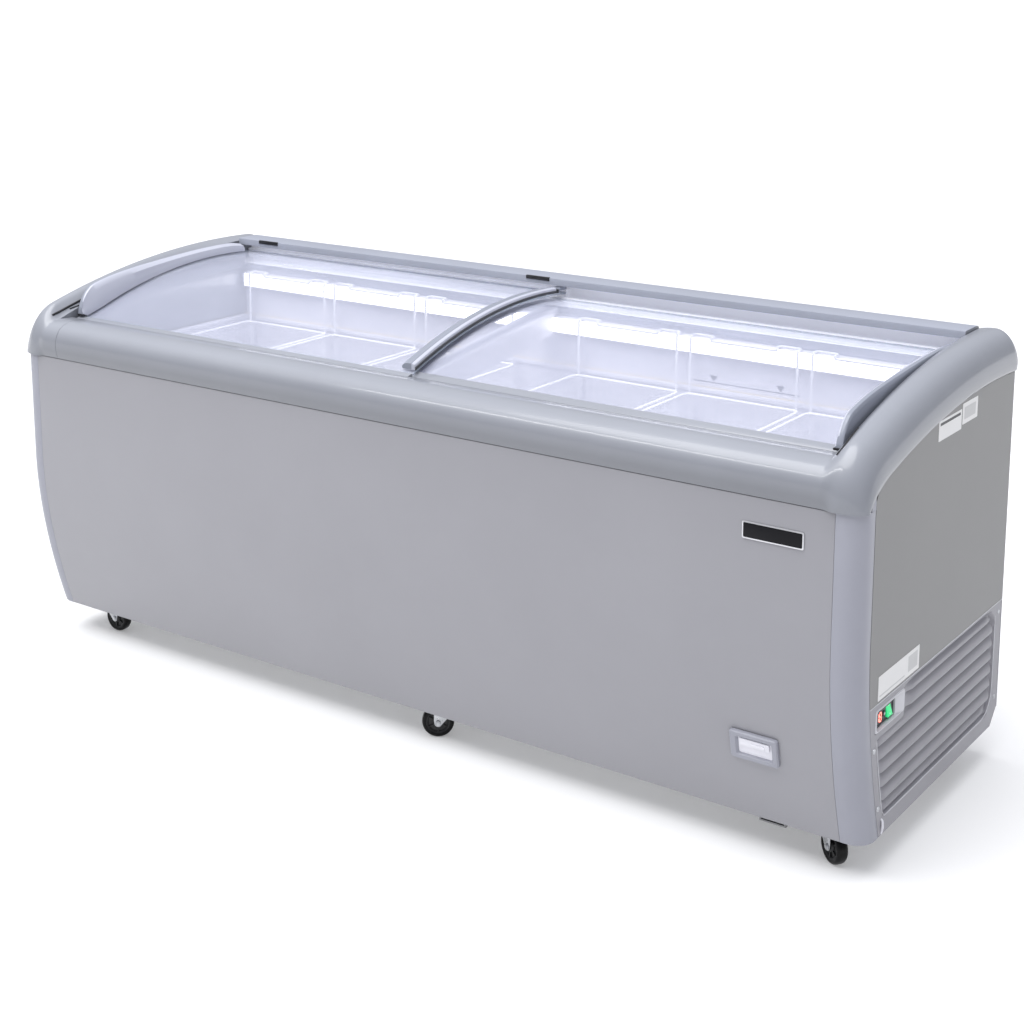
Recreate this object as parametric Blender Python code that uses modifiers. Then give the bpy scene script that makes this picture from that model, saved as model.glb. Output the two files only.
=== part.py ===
"""Display chest freezer with two curved sliding glass lids, on six swivel casters.

The frame is +X along the length, +Y from front to back and +Z up, in metres. The origin is on
the floor under the middle of the cabinet. The machine compartment is at the +X end.
"""

import math

import bpy
import bmesh
from mathutils import Matrix, Vector

# ---------------------------------------------------------------- driving dimensions

LENGTH = 2.000            # over the moulded collar ends
FRONT = -0.3365           # plane of the front panel
BACK = 0.3365             # plane of the back panel
COLLAR_PROUD = 0.006      # the collar stands this far outside the panels
BASE_Z = 0.072            # lower edge of the cabinet panels above the floor
SEAM_Z = 0.6645           # lower edge of the front rail
TOP_Z = 0.845             # top of the rear rail
GAP = 0.0003              # clearance between touching pieces
SHEET = 0.0015            # thickness of the outer sheet metal

CURVE_Z = 0.432           # below this height the front panel curves back
SETBACK = 0.066           # how far it has curved back at the lower edge

HALF = LENGTH / 2
SIDE_X = HALF - COLLAR_PROUD      # outer face of the side panels
POST_X = 0.948            # inner edge of the corner posts
POST_DEPTH = 0.052        # how far a corner post wraps round the side
POST_RADIUS = 0.036

END_X = 0.920             # inner face of the collar ends
WELL_X = 0.900            # inner face of the liner's end walls
WELL_FRONT = FRONT + 0.080
WELL_BACK = FRONT + 0.600
WELL_Z = 0.150            # floor of the liner
STEP_X = 0.640            # the liner steps up here, over the machine compartment
STEP_Z = 0.410
LINER = 0.002

TRACK_Z = 0.712           # running surface of the front track
SLOT_Z = 0.7865           # running surface of the rear track
SLOT_TOP_Z = 0.830
RAIL_LIP = FRONT + 0.128  # rear face of the front track
LEDGE_Z = 0.700           # top of the ledge that the baskets hang on
REAR_LIP = FRONT + 0.606  # front face of the rear rail
REAR_RAIL_Z = 0.7669      # its lower face
UPSTAND = REAR_LIP        # front face of the wall under it, behind the lamp

GLASS = 0.004
LID_OVERLAP = 0.020       # each lid passes the middle by this much
LID_X = 0.915             # outer edge of the lids
LID_DROP = 0.012          # the right lid runs this far under the left one
GRIP = 0.030              # width of a lid's outer bar
MID_BAR = 0.034           # width of a lid's inner bar
GRIP_TOP = (              # side view of a grip's top on the upper lid: depth, height
    (0.092, 0.7600), (0.100, 0.7800), (0.114, 0.7970), (0.135, 0.8090), (0.190, 0.8200),
    (0.255, 0.8275), (0.320, 0.8325), (0.420, 0.8385), (0.500, 0.8410), (0.560, 0.8400),
    (0.598, 0.8340))

BASKET_W = 0.258
BASKET_X = (0.205, 0.475, 0.745)
BASKET_FRONT = FRONT + 0.146
BASKET_BACK = FRONT + 0.586
BASKET_BOTTOM = 0.432
BASKET_RIM = 0.650
BASKET_WALL = 0.004

MACHINE_X = 0.660         # inner wall of the machine compartment
MACHINE_Z = 0.3225        # its ceiling
GRILLE_TOP = 0.320        # upper edge of the side grille

CASTER_X = (-0.900, 0.080, 0.894)
CASTER_HEADING = (0.0, math.radians(-145), math.radians(-36))  # front row; the rear is mirrored
CASTER_Y = 0.2015
WHEEL_R = 0.032
WHEEL_W = 0.022
TRAIL = 0.025
PLATE_Z = 0.0895          # lower face of the caster plates

# ---------------------------------------------------------------- scene and materials


def clear_scene():
    for item in list(bpy.data.objects):
        bpy.data.objects.remove(item, do_unlink=True)


clear_scene()
PARTS = bpy.data.collections.new("chest_freezer")
bpy.context.scene.collection.children.link(PARTS)


def material(name, colour, roughness, metallic=0.0, alpha=1.0):
    made = bpy.data.materials.new(name)
    made.use_nodes = True
    shader = made.node_tree.nodes["Principled BSDF"]
    shader.inputs["Base Color"].default_value = (*colour, 1.0)
    shader.inputs["Roughness"].default_value = roughness
    shader.inputs["Metallic"].default_value = metallic
    shader.inputs["Alpha"].default_value = alpha
    return made


PANEL = material("grey_painted_steel", (0.37, 0.37, 0.39), 0.38, 0.2)
POST = material("grey_post_plastic", (0.34, 0.35, 0.42), 0.42)
COLLAR = material("collar_plastic", (0.50, 0.52, 0.58), 0.32)
LINER_WHITE = material("liner_white", (0.80, 0.81, 0.88), 0.35)
FOAM = material("polyurethane_foam", (0.72, 0.60, 0.32), 0.95)
GLASS_CLEAR = material("lid_glass", (0.85, 0.92, 0.93), 0.04, alpha=0.35)
LID_PLASTIC = material("lid_bar_plastic", (0.48, 0.50, 0.57), 0.3)
WIRE = material("coated_wire", (0.88, 0.88, 0.92), 0.35)
GRILLE = material("grille_plastic", (0.26, 0.26, 0.28), 0.5)
BLACK = material("black_plastic", (0.012, 0.012, 0.014), 0.35)
SILVER = material("satin_metal", (0.62, 0.62, 0.64), 0.35, 0.9)
ZINC = material("zinc_steel", (0.55, 0.56, 0.58), 0.35, 0.9)
RUBBER = material("wheel_rubber", (0.010, 0.010, 0.011), 0.5)
LAMP = material("led_diffuser", (0.95, 0.97, 1.0), 0.3)
GREEN = material("switch_green", (0.05, 0.65, 0.22), 0.3)
FINS = material("condenser_aluminium", (0.45, 0.46, 0.47), 0.45, 0.8)

# ---------------------------------------------------------------- building helpers


def finish(name, mesh, look, angle=35.0):
    """Put a closed mesh in the parts collection under its node's name."""
    work = bmesh.new()
    work.from_mesh(mesh)
    bmesh.ops.remove_doubles(work, verts=work.verts, dist=1e-6)
    bmesh.ops.recalc_face_normals(work, faces=work.faces)
    work.to_mesh(mesh)
    work.free()
    mesh.materials.clear()
    mesh.materials.append(look)
    mesh.shade_smooth()
    mesh.set_sharp_from_angle(angle=math.radians(angle))
    made = bpy.data.objects.new(name, mesh)
    PARTS.objects.link(made)
    return made


def box_mesh(low, high, bevel=0.0, segments=2):
    low, high = Vector(low), Vector(high)
    size = high - low
    work = bmesh.new()
    place = Matrix.Translation((low + high) / 2) @ Matrix.Diagonal((*size, 1.0))
    bmesh.ops.create_cube(work, size=1.0, matrix=place)
    if bevel:
        bmesh.ops.bevel(work, geom=work.edges[:], offset=bevel, segments=segments,
                        affect="EDGES", profile=0.5)
    mesh = bpy.data.meshes.new("box")
    work.to_mesh(mesh)
    work.free()
    return mesh


AXIS_TURN = {
    "X": Matrix.Rotation(math.pi / 2, 4, "Y"),
    "Y": Matrix.Rotation(-math.pi / 2, 4, "X"),
    "Z": Matrix.Identity(4),
}


def cylinder_mesh(centre, radius, depth, axis="Z", sides=24):
    work = bmesh.new()
    bmesh.ops.create_cone(work, cap_ends=True, segments=sides, radius1=radius, depth=depth,
                          radius2=radius,
                          matrix=Matrix.Translation(centre) @ AXIS_TURN[axis])
    mesh = bpy.data.meshes.new("cylinder")
    work.to_mesh(mesh)
    work.free()
    return mesh


OUTLINE_TURN = {
    "X": Matrix(((0, 0, 1), (1, 0, 0), (0, 1, 0))).to_4x4(),     # outline in (y, z)
    "Y": Matrix(((1, 0, 0), (0, 0, -1), (0, 1, 0))).to_4x4(),    # outline in (x, z)
    "Z": Matrix.Identity(4),                                     # outline in (x, y)
}


def prism_mesh(outline, axis, low, high):
    """A flat outline, drawn as a filled 2D curve, carried along an axis from low to high."""
    curve = bpy.data.curves.new("outline", "CURVE")
    curve.dimensions = "2D"
    curve.fill_mode = "BOTH"
    curve.extrude = (high - low) / 2
    spline = curve.splines.new("POLY")
    spline.points.add(len(outline) - 1)
    for point, (u, v) in zip(spline.points, outline):
        point.co = (u, v, 0.0, 1.0)
    spline.use_cyclic_u = True
    shift = Vector((0, 0, 0))
    shift["XYZ".index(axis)] = (low + high) / 2
    guide = bpy.data.objects.new("outline", curve)
    bpy.context.scene.collection.objects.link(guide)
    graph = bpy.context.evaluated_depsgraph_get()
    mesh = bpy.data.meshes.new_from_object(guide.evaluated_get(graph))
    mesh.transform(Matrix.Translation(shift) @ OUTLINE_TURN[axis])
    bpy.data.objects.remove(guide)
    work = bmesh.new()
    work.from_mesh(mesh)
    bmesh.ops.remove_doubles(work, verts=work.verts, dist=1e-6)
    bmesh.ops.recalc_face_normals(work, faces=work.faces)
    work.to_mesh(mesh)
    work.free()
    return mesh


def turned_mesh(profile, centre, axis="Z", steps=24):
    """A profile of (radius, height) pairs turned about an axis through centre."""
    mesh = bpy.data.meshes.new("turned")
    edges = [(i, i + 1) for i in range(len(profile) - 1)]
    if profile[0][0] > 0:
        edges.append((len(profile) - 1, 0))
    mesh.from_pydata([(r, 0.0, h) for r, h in profile], edges, [])
    guide = bpy.data.objects.new("turned", mesh)
    bpy.context.scene.collection.objects.link(guide)
    screw = guide.modifiers.new("turn", "SCREW")
    screw.steps = steps
    screw.render_steps = steps
    screw.use_merge_vertices = True
    screw.merge_threshold = 0.00001
    graph = bpy.context.evaluated_depsgraph_get()
    result = bpy.data.meshes.new_from_object(guide.evaluated_get(graph))
    bpy.data.objects.remove(guide)
    result.transform(Matrix.Translation(centre) @ AXIS_TURN[axis])
    work = bmesh.new()
    work.from_mesh(result)
    bmesh.ops.remove_doubles(work, verts=work.verts, dist=1e-6)
    bmesh.ops.recalc_face_normals(work, faces=work.faces)
    work.to_mesh(result)
    work.free()
    return result


def combine(base, tools, operation):
    """Add the tool meshes to the base mesh, or cut them out of it."""
    for tool in tools:
        target = bpy.data.objects.new("target", base)
        cutter = bpy.data.objects.new("cutter", tool)
        for item in (target, cutter):
            bpy.context.scene.collection.objects.link(item)
        change = target.modifiers.new("change", "BOOLEAN")
        change.operation = operation
        change.object = cutter
        graph = bpy.context.evaluated_depsgraph_get()
        base = bpy.data.meshes.new_from_object(target.evaluated_get(graph))
        bpy.data.objects.remove(target)
        bpy.data.objects.remove(cutter)
    return base


def loft_mesh(rings):
    """Closed skin over rings of the same number of points, with flat ends."""
    work = bmesh.new()
    rows = [[work.verts.new(point) for point in ring] for ring in rings]
    count = len(rows[0])
    for first, second in zip(rows, rows[1:]):
        for i in range(count):
            j = (i + 1) % count
            work.faces.new((first[i], first[j], second[j], second[i]))
    work.faces.new(list(reversed(rows[0])))
    work.faces.new(rows[-1])
    bmesh.ops.recalc_face_normals(work, faces=work.faces)
    bmesh.ops.triangulate(work, faces=work.faces)
    mesh = bpy.data.meshes.new("loft")
    work.to_mesh(mesh)
    work.free()
    return mesh


def mirrored(mesh):
    """The same mesh on the other side of the plane x = 0."""
    copy = mesh.copy()
    copy.transform(Matrix.Diagonal((-1, 1, 1, 1)))
    copy.flip_normals()
    return copy


# ---------------------------------------------------------------- shared curves


def setback(z):
    """How far the front panel has curved back from its plane at height z."""
    if z >= CURVE_Z:
        return 0.0
    return SETBACK * ((CURVE_Z - z) / (CURVE_Z - BASE_Z)) ** 1.8


def front_heights(low, high, steps=9):
    """Heights for an outline that follows the front, closer together on its curve."""
    curved = [low + (CURVE_Z - low) * i / steps for i in range(steps)]
    return curved + [CURVE_Z, high]


def circle_through(a, b, c):
    """Centre and radius of the circle through three points of a plane."""
    (ax, ay), (bx, by), (cx, cy) = a, b, c
    d = 2 * (ax * (by - cy) + bx * (cy - ay) + cx * (ay - by))
    sa, sb, sc = ax * ax + ay * ay, bx * bx + by * by, cx * cx + cy * cy
    ux = (sa * (by - cy) + sb * (cy - ay) + sc * (ay - by)) / d
    uy = (sa * (cx - bx) + sb * (ax - cx) + sc * (bx - ax)) / d
    return (ux, uy), math.hypot(ax - ux, ay - uy)


def arc_through(a, b, c, steps):
    """Points on the circle through a, b and c, from a to c."""
    (ux, uy), radius = circle_through(a, b, c)
    start = math.atan2(a[1] - uy, a[0] - ux)
    end = math.atan2(c[1] - uy, c[0] - ux)
    angles = [start + (end - start) * i / steps for i in range(steps + 1)]
    return [(ux + radius * math.cos(t), uy + radius * math.sin(t)) for t in angles]


def bezier(p0, p1, p2, p3, steps):
    points = []
    for i in range(steps + 1):
        t = i / steps
        weights = ((1 - t) ** 3, 3 * t * (1 - t) ** 2, 3 * t * t * (1 - t), t ** 3)
        points.append(tuple(sum(w * p[k] for w, p in zip(weights, (p0, p1, p2, p3)))
                            for k in range(2)))
    return points


def at(depth, z):
    """A point of the side view, given as depth behind the front plane and height."""
    return (FRONT + depth, z)


def between(first, second, share):
    return tuple(a + (b - a) * share for a, b in zip(first, second))


LID_CENTRE, LID_RADIUS = circle_through(at(0.100, 0.734), at(0.326, 0.798), at(0.635, 0.808))


def lid_point(depth, offset):
    """Point of the lids' curve at a depth behind the front plane, offset outwards."""
    radius = LID_RADIUS + offset
    y = FRONT + depth
    return (y, LID_CENTRE[1] + math.sqrt(radius ** 2 - (y - LID_CENTRE[0]) ** 2))


def lid_band(first, last, low, high, steps=20):
    """Closed side-view outline between two offsets of the lids' curve."""
    depths = [first + (last - first) * i / steps for i in range(steps + 1)]
    lower = [lid_point(d, low) for d in depths]
    upper = [lid_point(d, high) for d in reversed(depths)]
    return lower + upper


# Side view of a collar end: the edge beside the lids, which starts on the front rail's nose,
# the ridge of its top, and its lower edge on the cabinet's side.
FRONT_STEPS, TOP_STEPS = 7, 9
INNER_EDGE = (bezier(at(0.001, SEAM_Z), at(-0.011, 0.690), at(-0.009, 0.7375), at(0.045, 0.7405),
                     FRONT_STEPS)
              + arc_through(at(0.045, 0.7405), at(0.330, 0.812), at(0.679, 0.840), TOP_STEPS)[1:])
RIDGE = (bezier(at(-0.006, SEAM_Z), at(-0.007, 0.715), at(0.016, 0.758), at(0.058, 0.772),
                FRONT_STEPS)
         + arc_through(at(0.058, 0.772), at(0.362, 0.833), at(0.679, 0.843), TOP_STEPS)[1:])
LOWER_EDGE = (bezier(at(0.026, SEAM_Z), at(0.042, 0.683), at(0.066, 0.699), at(0.098, 0.708),
                     FRONT_STEPS)
              + arc_through(at(0.098, 0.708), at(0.330, 0.755), at(0.679, 0.7665), TOP_STEPS)[1:])

# ---------------------------------------------------------------- outer shell


def front_panel():
    heights = front_heights(BASE_Z, SEAM_Z - GAP)
    outer = [(FRONT + setback(z), z) for z in heights]
    inner = [(y + SHEET, z) for y, z in reversed(outer)]
    mesh = prism_mesh(outer + inner, "X", -POST_X + GAP, POST_X - GAP)
    finish("front_panel", mesh, PANEL)


def post_section(z):
    """Plan of the right-hand corner post at height z, with its rounded outer corner."""
    front = FRONT + setback(z)
    centre = (SIDE_X - POST_RADIUS, front + POST_RADIUS)
    corner = [(centre[0] + POST_RADIUS * math.sin(t), centre[1] - POST_RADIUS * math.cos(t))
              for t in (math.pi / 2 * i / 6 for i in range(7))]
    inside = [(SIDE_X, front + POST_DEPTH), (POST_X, front + POST_DEPTH)]
    return [(POST_X, front)] + corner + inside


def corner_posts():
    mesh = loft_mesh([[(x, y, z) for x, y in post_section(z)]
                      for z in front_heights(BASE_Z, SEAM_Z - GAP)])
    finish("front_left_post", mirrored(mesh), POST)
    finish("front_right_post", mesh, POST)


def side_outline(bottom, inset):
    """Side view of the cabinet wall behind the corner post, under the collar end."""
    edge = [(y, z - inset) for y, z in LOWER_EDGE if y > FRONT + POST_DEPTH + inset]
    top_front = (FRONT + POST_DEPTH + inset, edge[0][1] - 0.016)
    back = BACK - SHEET - GAP
    top = [top_front] + [(min(y, back), z) for y, z in edge]
    front = [(FRONT + setback(z) + POST_DEPTH + inset, z)
             for z in front_heights(bottom, top_front[1] - 0.02) if z < top_front[1]]
    return front + top + [(back, bottom)]


def side_panels():
    for name, bottom, sign in (("left_side_panel", BASE_Z, -1),
                               ("right_side_panel", GRILLE_TOP + GAP, 1)):
        outline = side_outline(bottom, GAP)
        mesh = prism_mesh(outline, "X", SIDE_X - SHEET, SIDE_X)
        finish(name, mesh if sign > 0 else mirrored(mesh), PANEL)


def back_panel():
    corner, top = 0.030, 0.7663
    outline = [(-SIDE_X, BASE_Z), (SIDE_X - corner, BASE_Z), (SIDE_X, BASE_Z + corner),
               (SIDE_X, top), (-SIDE_X, top)]
    mesh = prism_mesh(outline, "Y", BACK - SHEET, BACK)
    vent = (0.700, 0.950, 0.120, 0.290)
    for row in range(7):
        z = vent[2] + (vent[3] - vent[2]) * (row + 0.5) / 7
        slot = box_mesh((vent[0], BACK - 0.01, z - 0.005), (vent[1], BACK + 0.01, z + 0.005))
        mesh = combine(mesh, [slot], "DIFFERENCE")
    finish("back_panel", mesh, PANEL)


def caster_positions():
    for side, y, way in (("front", -CASTER_Y, 1), ("rear", CASTER_Y, -1)):
        for label, x, heading in zip(("left", "middle", "right"), CASTER_X, CASTER_HEADING):
            yield f"{side}_{label}", x, y, way * heading


def base_pan():
    side, front = SIDE_X - 0.009, FRONT + SETBACK + 0.002
    notch_x, notch_y = POST_X - 0.001, front + POST_DEPTH
    mesh = box_mesh((-side, front, PLATE_Z + 0.003), (side, BACK - 0.014, PLATE_Z + 0.006))
    corner = box_mesh((notch_x, front - 0.01, PLATE_Z), (side + 0.01, notch_y, PLATE_Z + 0.01))
    mesh = combine(mesh, [corner, mirrored(corner)], "DIFFERENCE")
    plates = [box_mesh((x - 0.031, y - 0.034, PLATE_Z), (x + 0.031, y + 0.034, PLATE_Z + 0.0045))
              for _, x, y, _ in caster_positions()]
    finish("base_pan", combine(mesh, plates, "UNION"), ZINC)


def liner_outline(grow):
    """Front view of the liner's cavity, wider by grow on every side."""
    return [(-WELL_X - grow, WELL_Z - grow), (STEP_X + grow, WELL_Z - grow),
            (STEP_X + grow, STEP_Z - grow), (WELL_X + grow, STEP_Z - grow),
            (WELL_X + grow, SEAM_Z - 0.004), (-WELL_X - grow, SEAM_Z - 0.004)]


def inner_liner():
    outer = prism_mesh(liner_outline(LINER), "Y", WELL_FRONT - LINER, WELL_BACK + LINER)
    cavity = [(x, z + (0.01 if z > SEAM_Z - 0.01 else 0.0)) for x, z in liner_outline(0.0)]
    inner = prism_mesh(cavity, "Y", WELL_FRONT, WELL_BACK)
    finish("inner_liner", combine(outer, [inner], "DIFFERENCE"), LINER_WHITE)


def foam_insulation():
    bottom, top = PLATE_Z + 0.0066, SEAM_Z - 0.004
    heights = front_heights(bottom, top)
    front = [(FRONT + setback(z) + SHEET + 0.001, z) for z in heights]
    inside_x = SIDE_X - SHEET - 0.001
    back = BACK - SHEET - 0.001
    mesh = prism_mesh(front + [(back, top), (back, bottom)], "X", -inside_x, inside_x)
    cheek = [(y, z - 0.001) for y, z in LOWER_EDGE if y > FRONT + POST_DEPTH + 0.01]
    cheek = [(min(y, back), z) for y, z in cheek]
    cheek = [(cheek[0][0], top - 0.02)] + cheek + [(back, top - 0.02)]
    cheeks = [prism_mesh(cheek, "X", END_X + 0.006, inside_x)]
    cheeks.append(mirrored(cheeks[0]))
    behind = box_mesh((-END_X + 0.001, UPSTAND + 0.0035, top - 0.02),
                      (END_X - 0.001, back, REAR_RAIL_Z - 0.001))
    mesh = combine(mesh, cheeks + [behind], "UNION")
    cavity = [(x, z + (0.01 if z > top - 0.01 else 0.0)) for x, z in liner_outline(LINER + GAP)]
    cuts = [prism_mesh(cavity, "Y", WELL_FRONT - LINER - GAP, WELL_BACK + LINER + GAP),
            box_mesh((MACHINE_X, FRONT - 0.01, 0.0), (HALF, BACK + 0.01, MACHINE_Z))]
    corner = [(FRONT + setback(z) + POST_DEPTH + 0.001, z) for z in heights]
    corner += [(FRONT - 0.01, top + 0.01), (FRONT - 0.01, bottom)]
    corner[-3] = (corner[-3][0], top + 0.01)
    cuts.append(prism_mesh(corner, "X", POST_X - 0.001, HALF))
    cuts.append(mirrored(cuts[-1]))
    finish("foam_insulation", combine(mesh, cuts, "DIFFERENCE"), FOAM)


# ---------------------------------------------------------------- collar


def collar_front_rail():
    nose = bezier(at(0.000, SEAM_Z), at(-0.012, 0.690), at(-0.010, 0.738), at(0.044, 0.741), 9)
    fence_z = TRACK_Z + 0.008
    track = [at(0.081, 0.7375), at(0.081, TRACK_Z), at(0.1025, TRACK_Z), at(0.1025, fence_z),
             at(0.1055, fence_z), at(0.1055, TRACK_Z), at(0.128, TRACK_Z),
             at(0.128, LEDGE_Z), at(0.142, LEDGE_Z), at(0.142, SEAM_Z)]
    finish("collar_front_rail", prism_mesh(nose + track, "X", -END_X + GAP, END_X - GAP), COLLAR)


def collar_rear_rail():
    back = 0.679
    shoulder = bezier(at(0.664, TOP_Z), at(0.674, TOP_Z), at(back, TOP_Z - 0.005),
                      at(back, TOP_Z - 0.015), 5)
    rest = [at(back, REAR_RAIL_Z), at(0.606, REAR_RAIL_Z), at(0.606, SLOT_Z), at(0.6295, SLOT_Z),
            at(0.6295, SLOT_Z + 0.006), at(0.6325, SLOT_Z + 0.006), at(0.6325, SLOT_Z),
            at(0.650, SLOT_Z), at(0.650, SLOT_TOP_Z), at(0.607, SLOT_TOP_Z),
            at(0.607, TOP_Z - 0.003), at(0.610, TOP_Z)]
    mesh = prism_mesh(shoulder + rest, "X", -END_X + GAP, END_X - GAP)
    finish("collar_rear_rail", mesh, COLLAR)


def rear_upstand():
    """Inner wall between the liner's rear edge and the rear rail, which carries the lamp."""
    mesh = box_mesh((-WELL_X + GAP, UPSTAND, SEAM_Z - 0.0037),
                    (WELL_X - GAP, UPSTAND + 0.003, REAR_RAIL_Z - GAP))
    finish("rear_upstand", mesh, LINER_WHITE)


def collar_ends():
    """Moulded ends: a dome from the edge beside the lids over the ridge to the lower edge."""
    ridge_x = 0.950
    rings = []
    for inner, ridge, lower in zip(INNER_EDGE, RIDGE, LOWER_EDGE):
        ring = [(END_X, *lower), (END_X, *inner)]
        for x, share in ((0.927, 0.30), (0.937, 0.75), (ridge_x, 1.0)):
            ring.append((x, *between(inner, ridge, share)))
        for i in range(1, 8):
            angle = math.pi / 2 * i / 7
            x = ridge_x + (HALF - ridge_x) * math.sin(angle)
            ring.append((x, *between(lower, ridge, math.cos(angle))))
        rings.append(ring)
    loft = loft_mesh(rings)
    upper = [lid_point(d, -0.021) for d in (0.604, 0.50, 0.40, 0.30, 0.20, 0.1425)]
    shelf = [at(0.1425, SEAM_Z), at(0.604, SEAM_Z)] + upper
    mesh = combine(loft, [prism_mesh(shelf, "X", WELL_X, END_X + 0.005)], "UNION")
    finish("collar_left_end", mirrored(mesh), COLLAR)
    finish("collar_right_end", mesh, COLLAR)


def center_beam():
    outline = [at(0.1285, 0.7125), at(0.1430, 0.7145), at(0.1500, 0.6760), at(0.5860, 0.7250),
               at(0.5860, 0.7665), at(0.6055, 0.7685), at(0.6055, 0.7840), at(0.1285, 0.7255)]
    finish("center_beam", prism_mesh(outline, "X", -0.020, 0.020), LINER_WHITE)


def led_strip():
    housing = [at(0.592, 0.730), at(0.6057, 0.730), at(0.6057, 0.766), at(0.592, 0.766)]
    diffuser = [at(0.5895, 0.733), at(0.5917, 0.733), at(0.5917, 0.763), at(0.5895, 0.763)]
    finish("led_housing", prism_mesh(housing, "X", -WELL_X + 0.004, WELL_X - 0.004), COLLAR)
    finish("led_diffuser", prism_mesh(diffuser, "X", -WELL_X + 0.01, WELL_X - 0.01), LAMP)


# ---------------------------------------------------------------- sliding lids


def grip_mesh(front, level):
    """Tall handle on a lid's outer edge, steep outside, sloped inside, low at both ends."""
    rings = []
    for first, second in zip(GRIP_TOP, GRIP_TOP[1:] + GRIP_TOP[-1:]):
        pieces = max(1, round((second[0] - first[0]) / 0.022))
        for i in range(pieces):
            depth, top = between(first, second, i / pieces)
            rings.append(grip_section(depth, top + level, front, level))
    return loft_mesh(rings)


def grip_section(depth, high, front, level):
    """Section across a grip at a depth: it rests just over the glass and the front runner."""
    if depth < front:
        low = lid_point(front, level + GLASS)[1] + 0.0035
    else:
        low = lid_point(depth, level + GLASS)[1] + 0.0008
    slope = low + (high - low) * 0.35
    y, inner_x = FRONT + depth, LID_X - GRIP
    return [(LID_X, y, low), (LID_X, y, high - 0.003), (LID_X - 0.003, y, high),
            (LID_X - 0.013, y, high - 0.001), (inner_x, y, slope), (inner_x, y, low)]


def lid(side, sign, level):
    """One lid: bent glass, two curved edge bars and two runners; level is its height offset."""
    lower = level < 0
    front, back = (0.1253, 0.6157) if lower else (0.1013, 0.6337)
    inner_edge = -sign * LID_OVERLAP
    spans = sorted((inner_edge, sign * LID_X))
    glass = lid_band(front, back, level, level + GLASS)
    finish(f"{side}_lid_glass", prism_mesh(glass, "X", *spans), GLASS_CLEAR)

    grip = grip_mesh(front, level)
    finish(f"{side}_lid_grip_bar", grip if sign > 0 else mirrored(grip), LID_PLASTIC)
    bar_first, bar_last = front + 0.010, back - 0.006
    mid_x = sorted((inner_edge, inner_edge + sign * MID_BAR))
    if lower:
        mid = lid_band(bar_first, bar_last, level - 0.006, level - GAP)
    else:
        mid = lid_band(bar_first, min(bar_last, 0.600), level + GLASS + GAP, level + 0.016)
    finish(f"{side}_lid_middle_bar", prism_mesh(mid, "X", *mid_x), LID_PLASTIC)

    foot = TRACK_Z + GAP
    if lower:
        front_runner = [at(0.107, foot), at(0.125, foot), at(0.125, 0.7385), at(0.107, 0.7300)]
        rear_runner = [at(0.616, SLOT_Z + GAP), at(0.629, SLOT_Z + GAP), at(0.629, 0.803),
                       at(0.616, 0.803)]
    else:
        front_runner = [at(0.084, foot), at(0.101, foot), at(0.101, 0.7400), at(0.084, 0.7360)]
        rear_runner = [at(0.634, SLOT_Z + GAP), at(0.647, SLOT_Z + GAP), at(0.647, 0.817),
                       at(0.634, 0.817)]
    finish(f"{side}_lid_front_runner", prism_mesh(front_runner, "X", *spans), LID_PLASTIC)
    finish(f"{side}_lid_rear_runner", prism_mesh(rear_runner, "X", *spans), LID_PLASTIC)


# ---------------------------------------------------------------- baskets


def basket(name, x):
    """Open basket with a hanger plate at the front and at the back, hooked over a ledge."""
    half = BASKET_W / 2
    outer = box_mesh((x - half, BASKET_FRONT, BASKET_BOTTOM), (x + half, BASKET_BACK, BASKET_RIM))
    inner = box_mesh((x - half + BASKET_WALL, BASKET_FRONT + BASKET_WALL,
                      BASKET_BOTTOM + BASKET_WALL),
                     (x + half - BASKET_WALL, BASKET_BACK - BASKET_WALL, BASKET_RIM + 0.01))
    shell = combine(outer, [inner], "DIFFERENCE")
    hang = half - 0.010
    hook = 0.004
    front_top = LEDGE_Z + GAP + hook
    rear_top = 0.766 + GAP + hook
    root = BASKET_RIM - 0.01
    front, rear = BASKET_FRONT + BASKET_WALL, BASKET_BACK - BASKET_WALL
    front_hanger = [(BASKET_FRONT, root), (front, root), (front, front_top),
                    (RAIL_LIP + 0.003, front_top), (RAIL_LIP + 0.003, front_top - hook),
                    (BASKET_FRONT, front_top - hook)]
    rear_hanger = [(BASKET_BACK, root), (BASKET_BACK, rear_top - hook),
                   (REAR_LIP - 0.003, rear_top - hook), (REAR_LIP - 0.003, rear_top),
                   (rear, rear_top), (rear, root)]
    plates = [prism_mesh(outline, "X", x - hang, x + hang)
              for outline in (front_hanger, rear_hanger)]
    finish(name, combine(shell, plates, "UNION"), WIRE)


# ---------------------------------------------------------------- machine compartment


def side_grille():
    """Louvred cover of the machine compartment, with a pocket for the controls."""
    corner = 0.030
    heights = [z for z in front_heights(BASE_Z, GRILLE_TOP) if z < GRILLE_TOP] + [GRILLE_TOP]
    front = [(FRONT + setback(z) + POST_DEPTH + GAP, z) for z in heights]
    back = BACK - SHEET - GAP
    outline = front + [(back, GRILLE_TOP), (back, BASE_Z + corner), (back - corner, BASE_Z)]
    thick = 0.008
    mesh = prism_mesh(outline, "X", SIDE_X - thick, SIDE_X)
    slots = []
    for row in range(7):
        z = 0.118 + 0.028 * row
        first = 0.125 if row < 4 else 0.235
        slots.append(box_mesh((SIDE_X - 0.02, FRONT + first, z - 0.005),
                              (SIDE_X + 0.02, FRONT + 0.615, z + 0.005)))
    pocket = box_mesh((SIDE_X - 0.02, FRONT + 0.085, 0.268), (SIDE_X + 0.02, FRONT + 0.205, 0.310))
    finish("side_grille", combine(mesh, slots + [pocket], "DIFFERENCE"), GRILLE)


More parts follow.
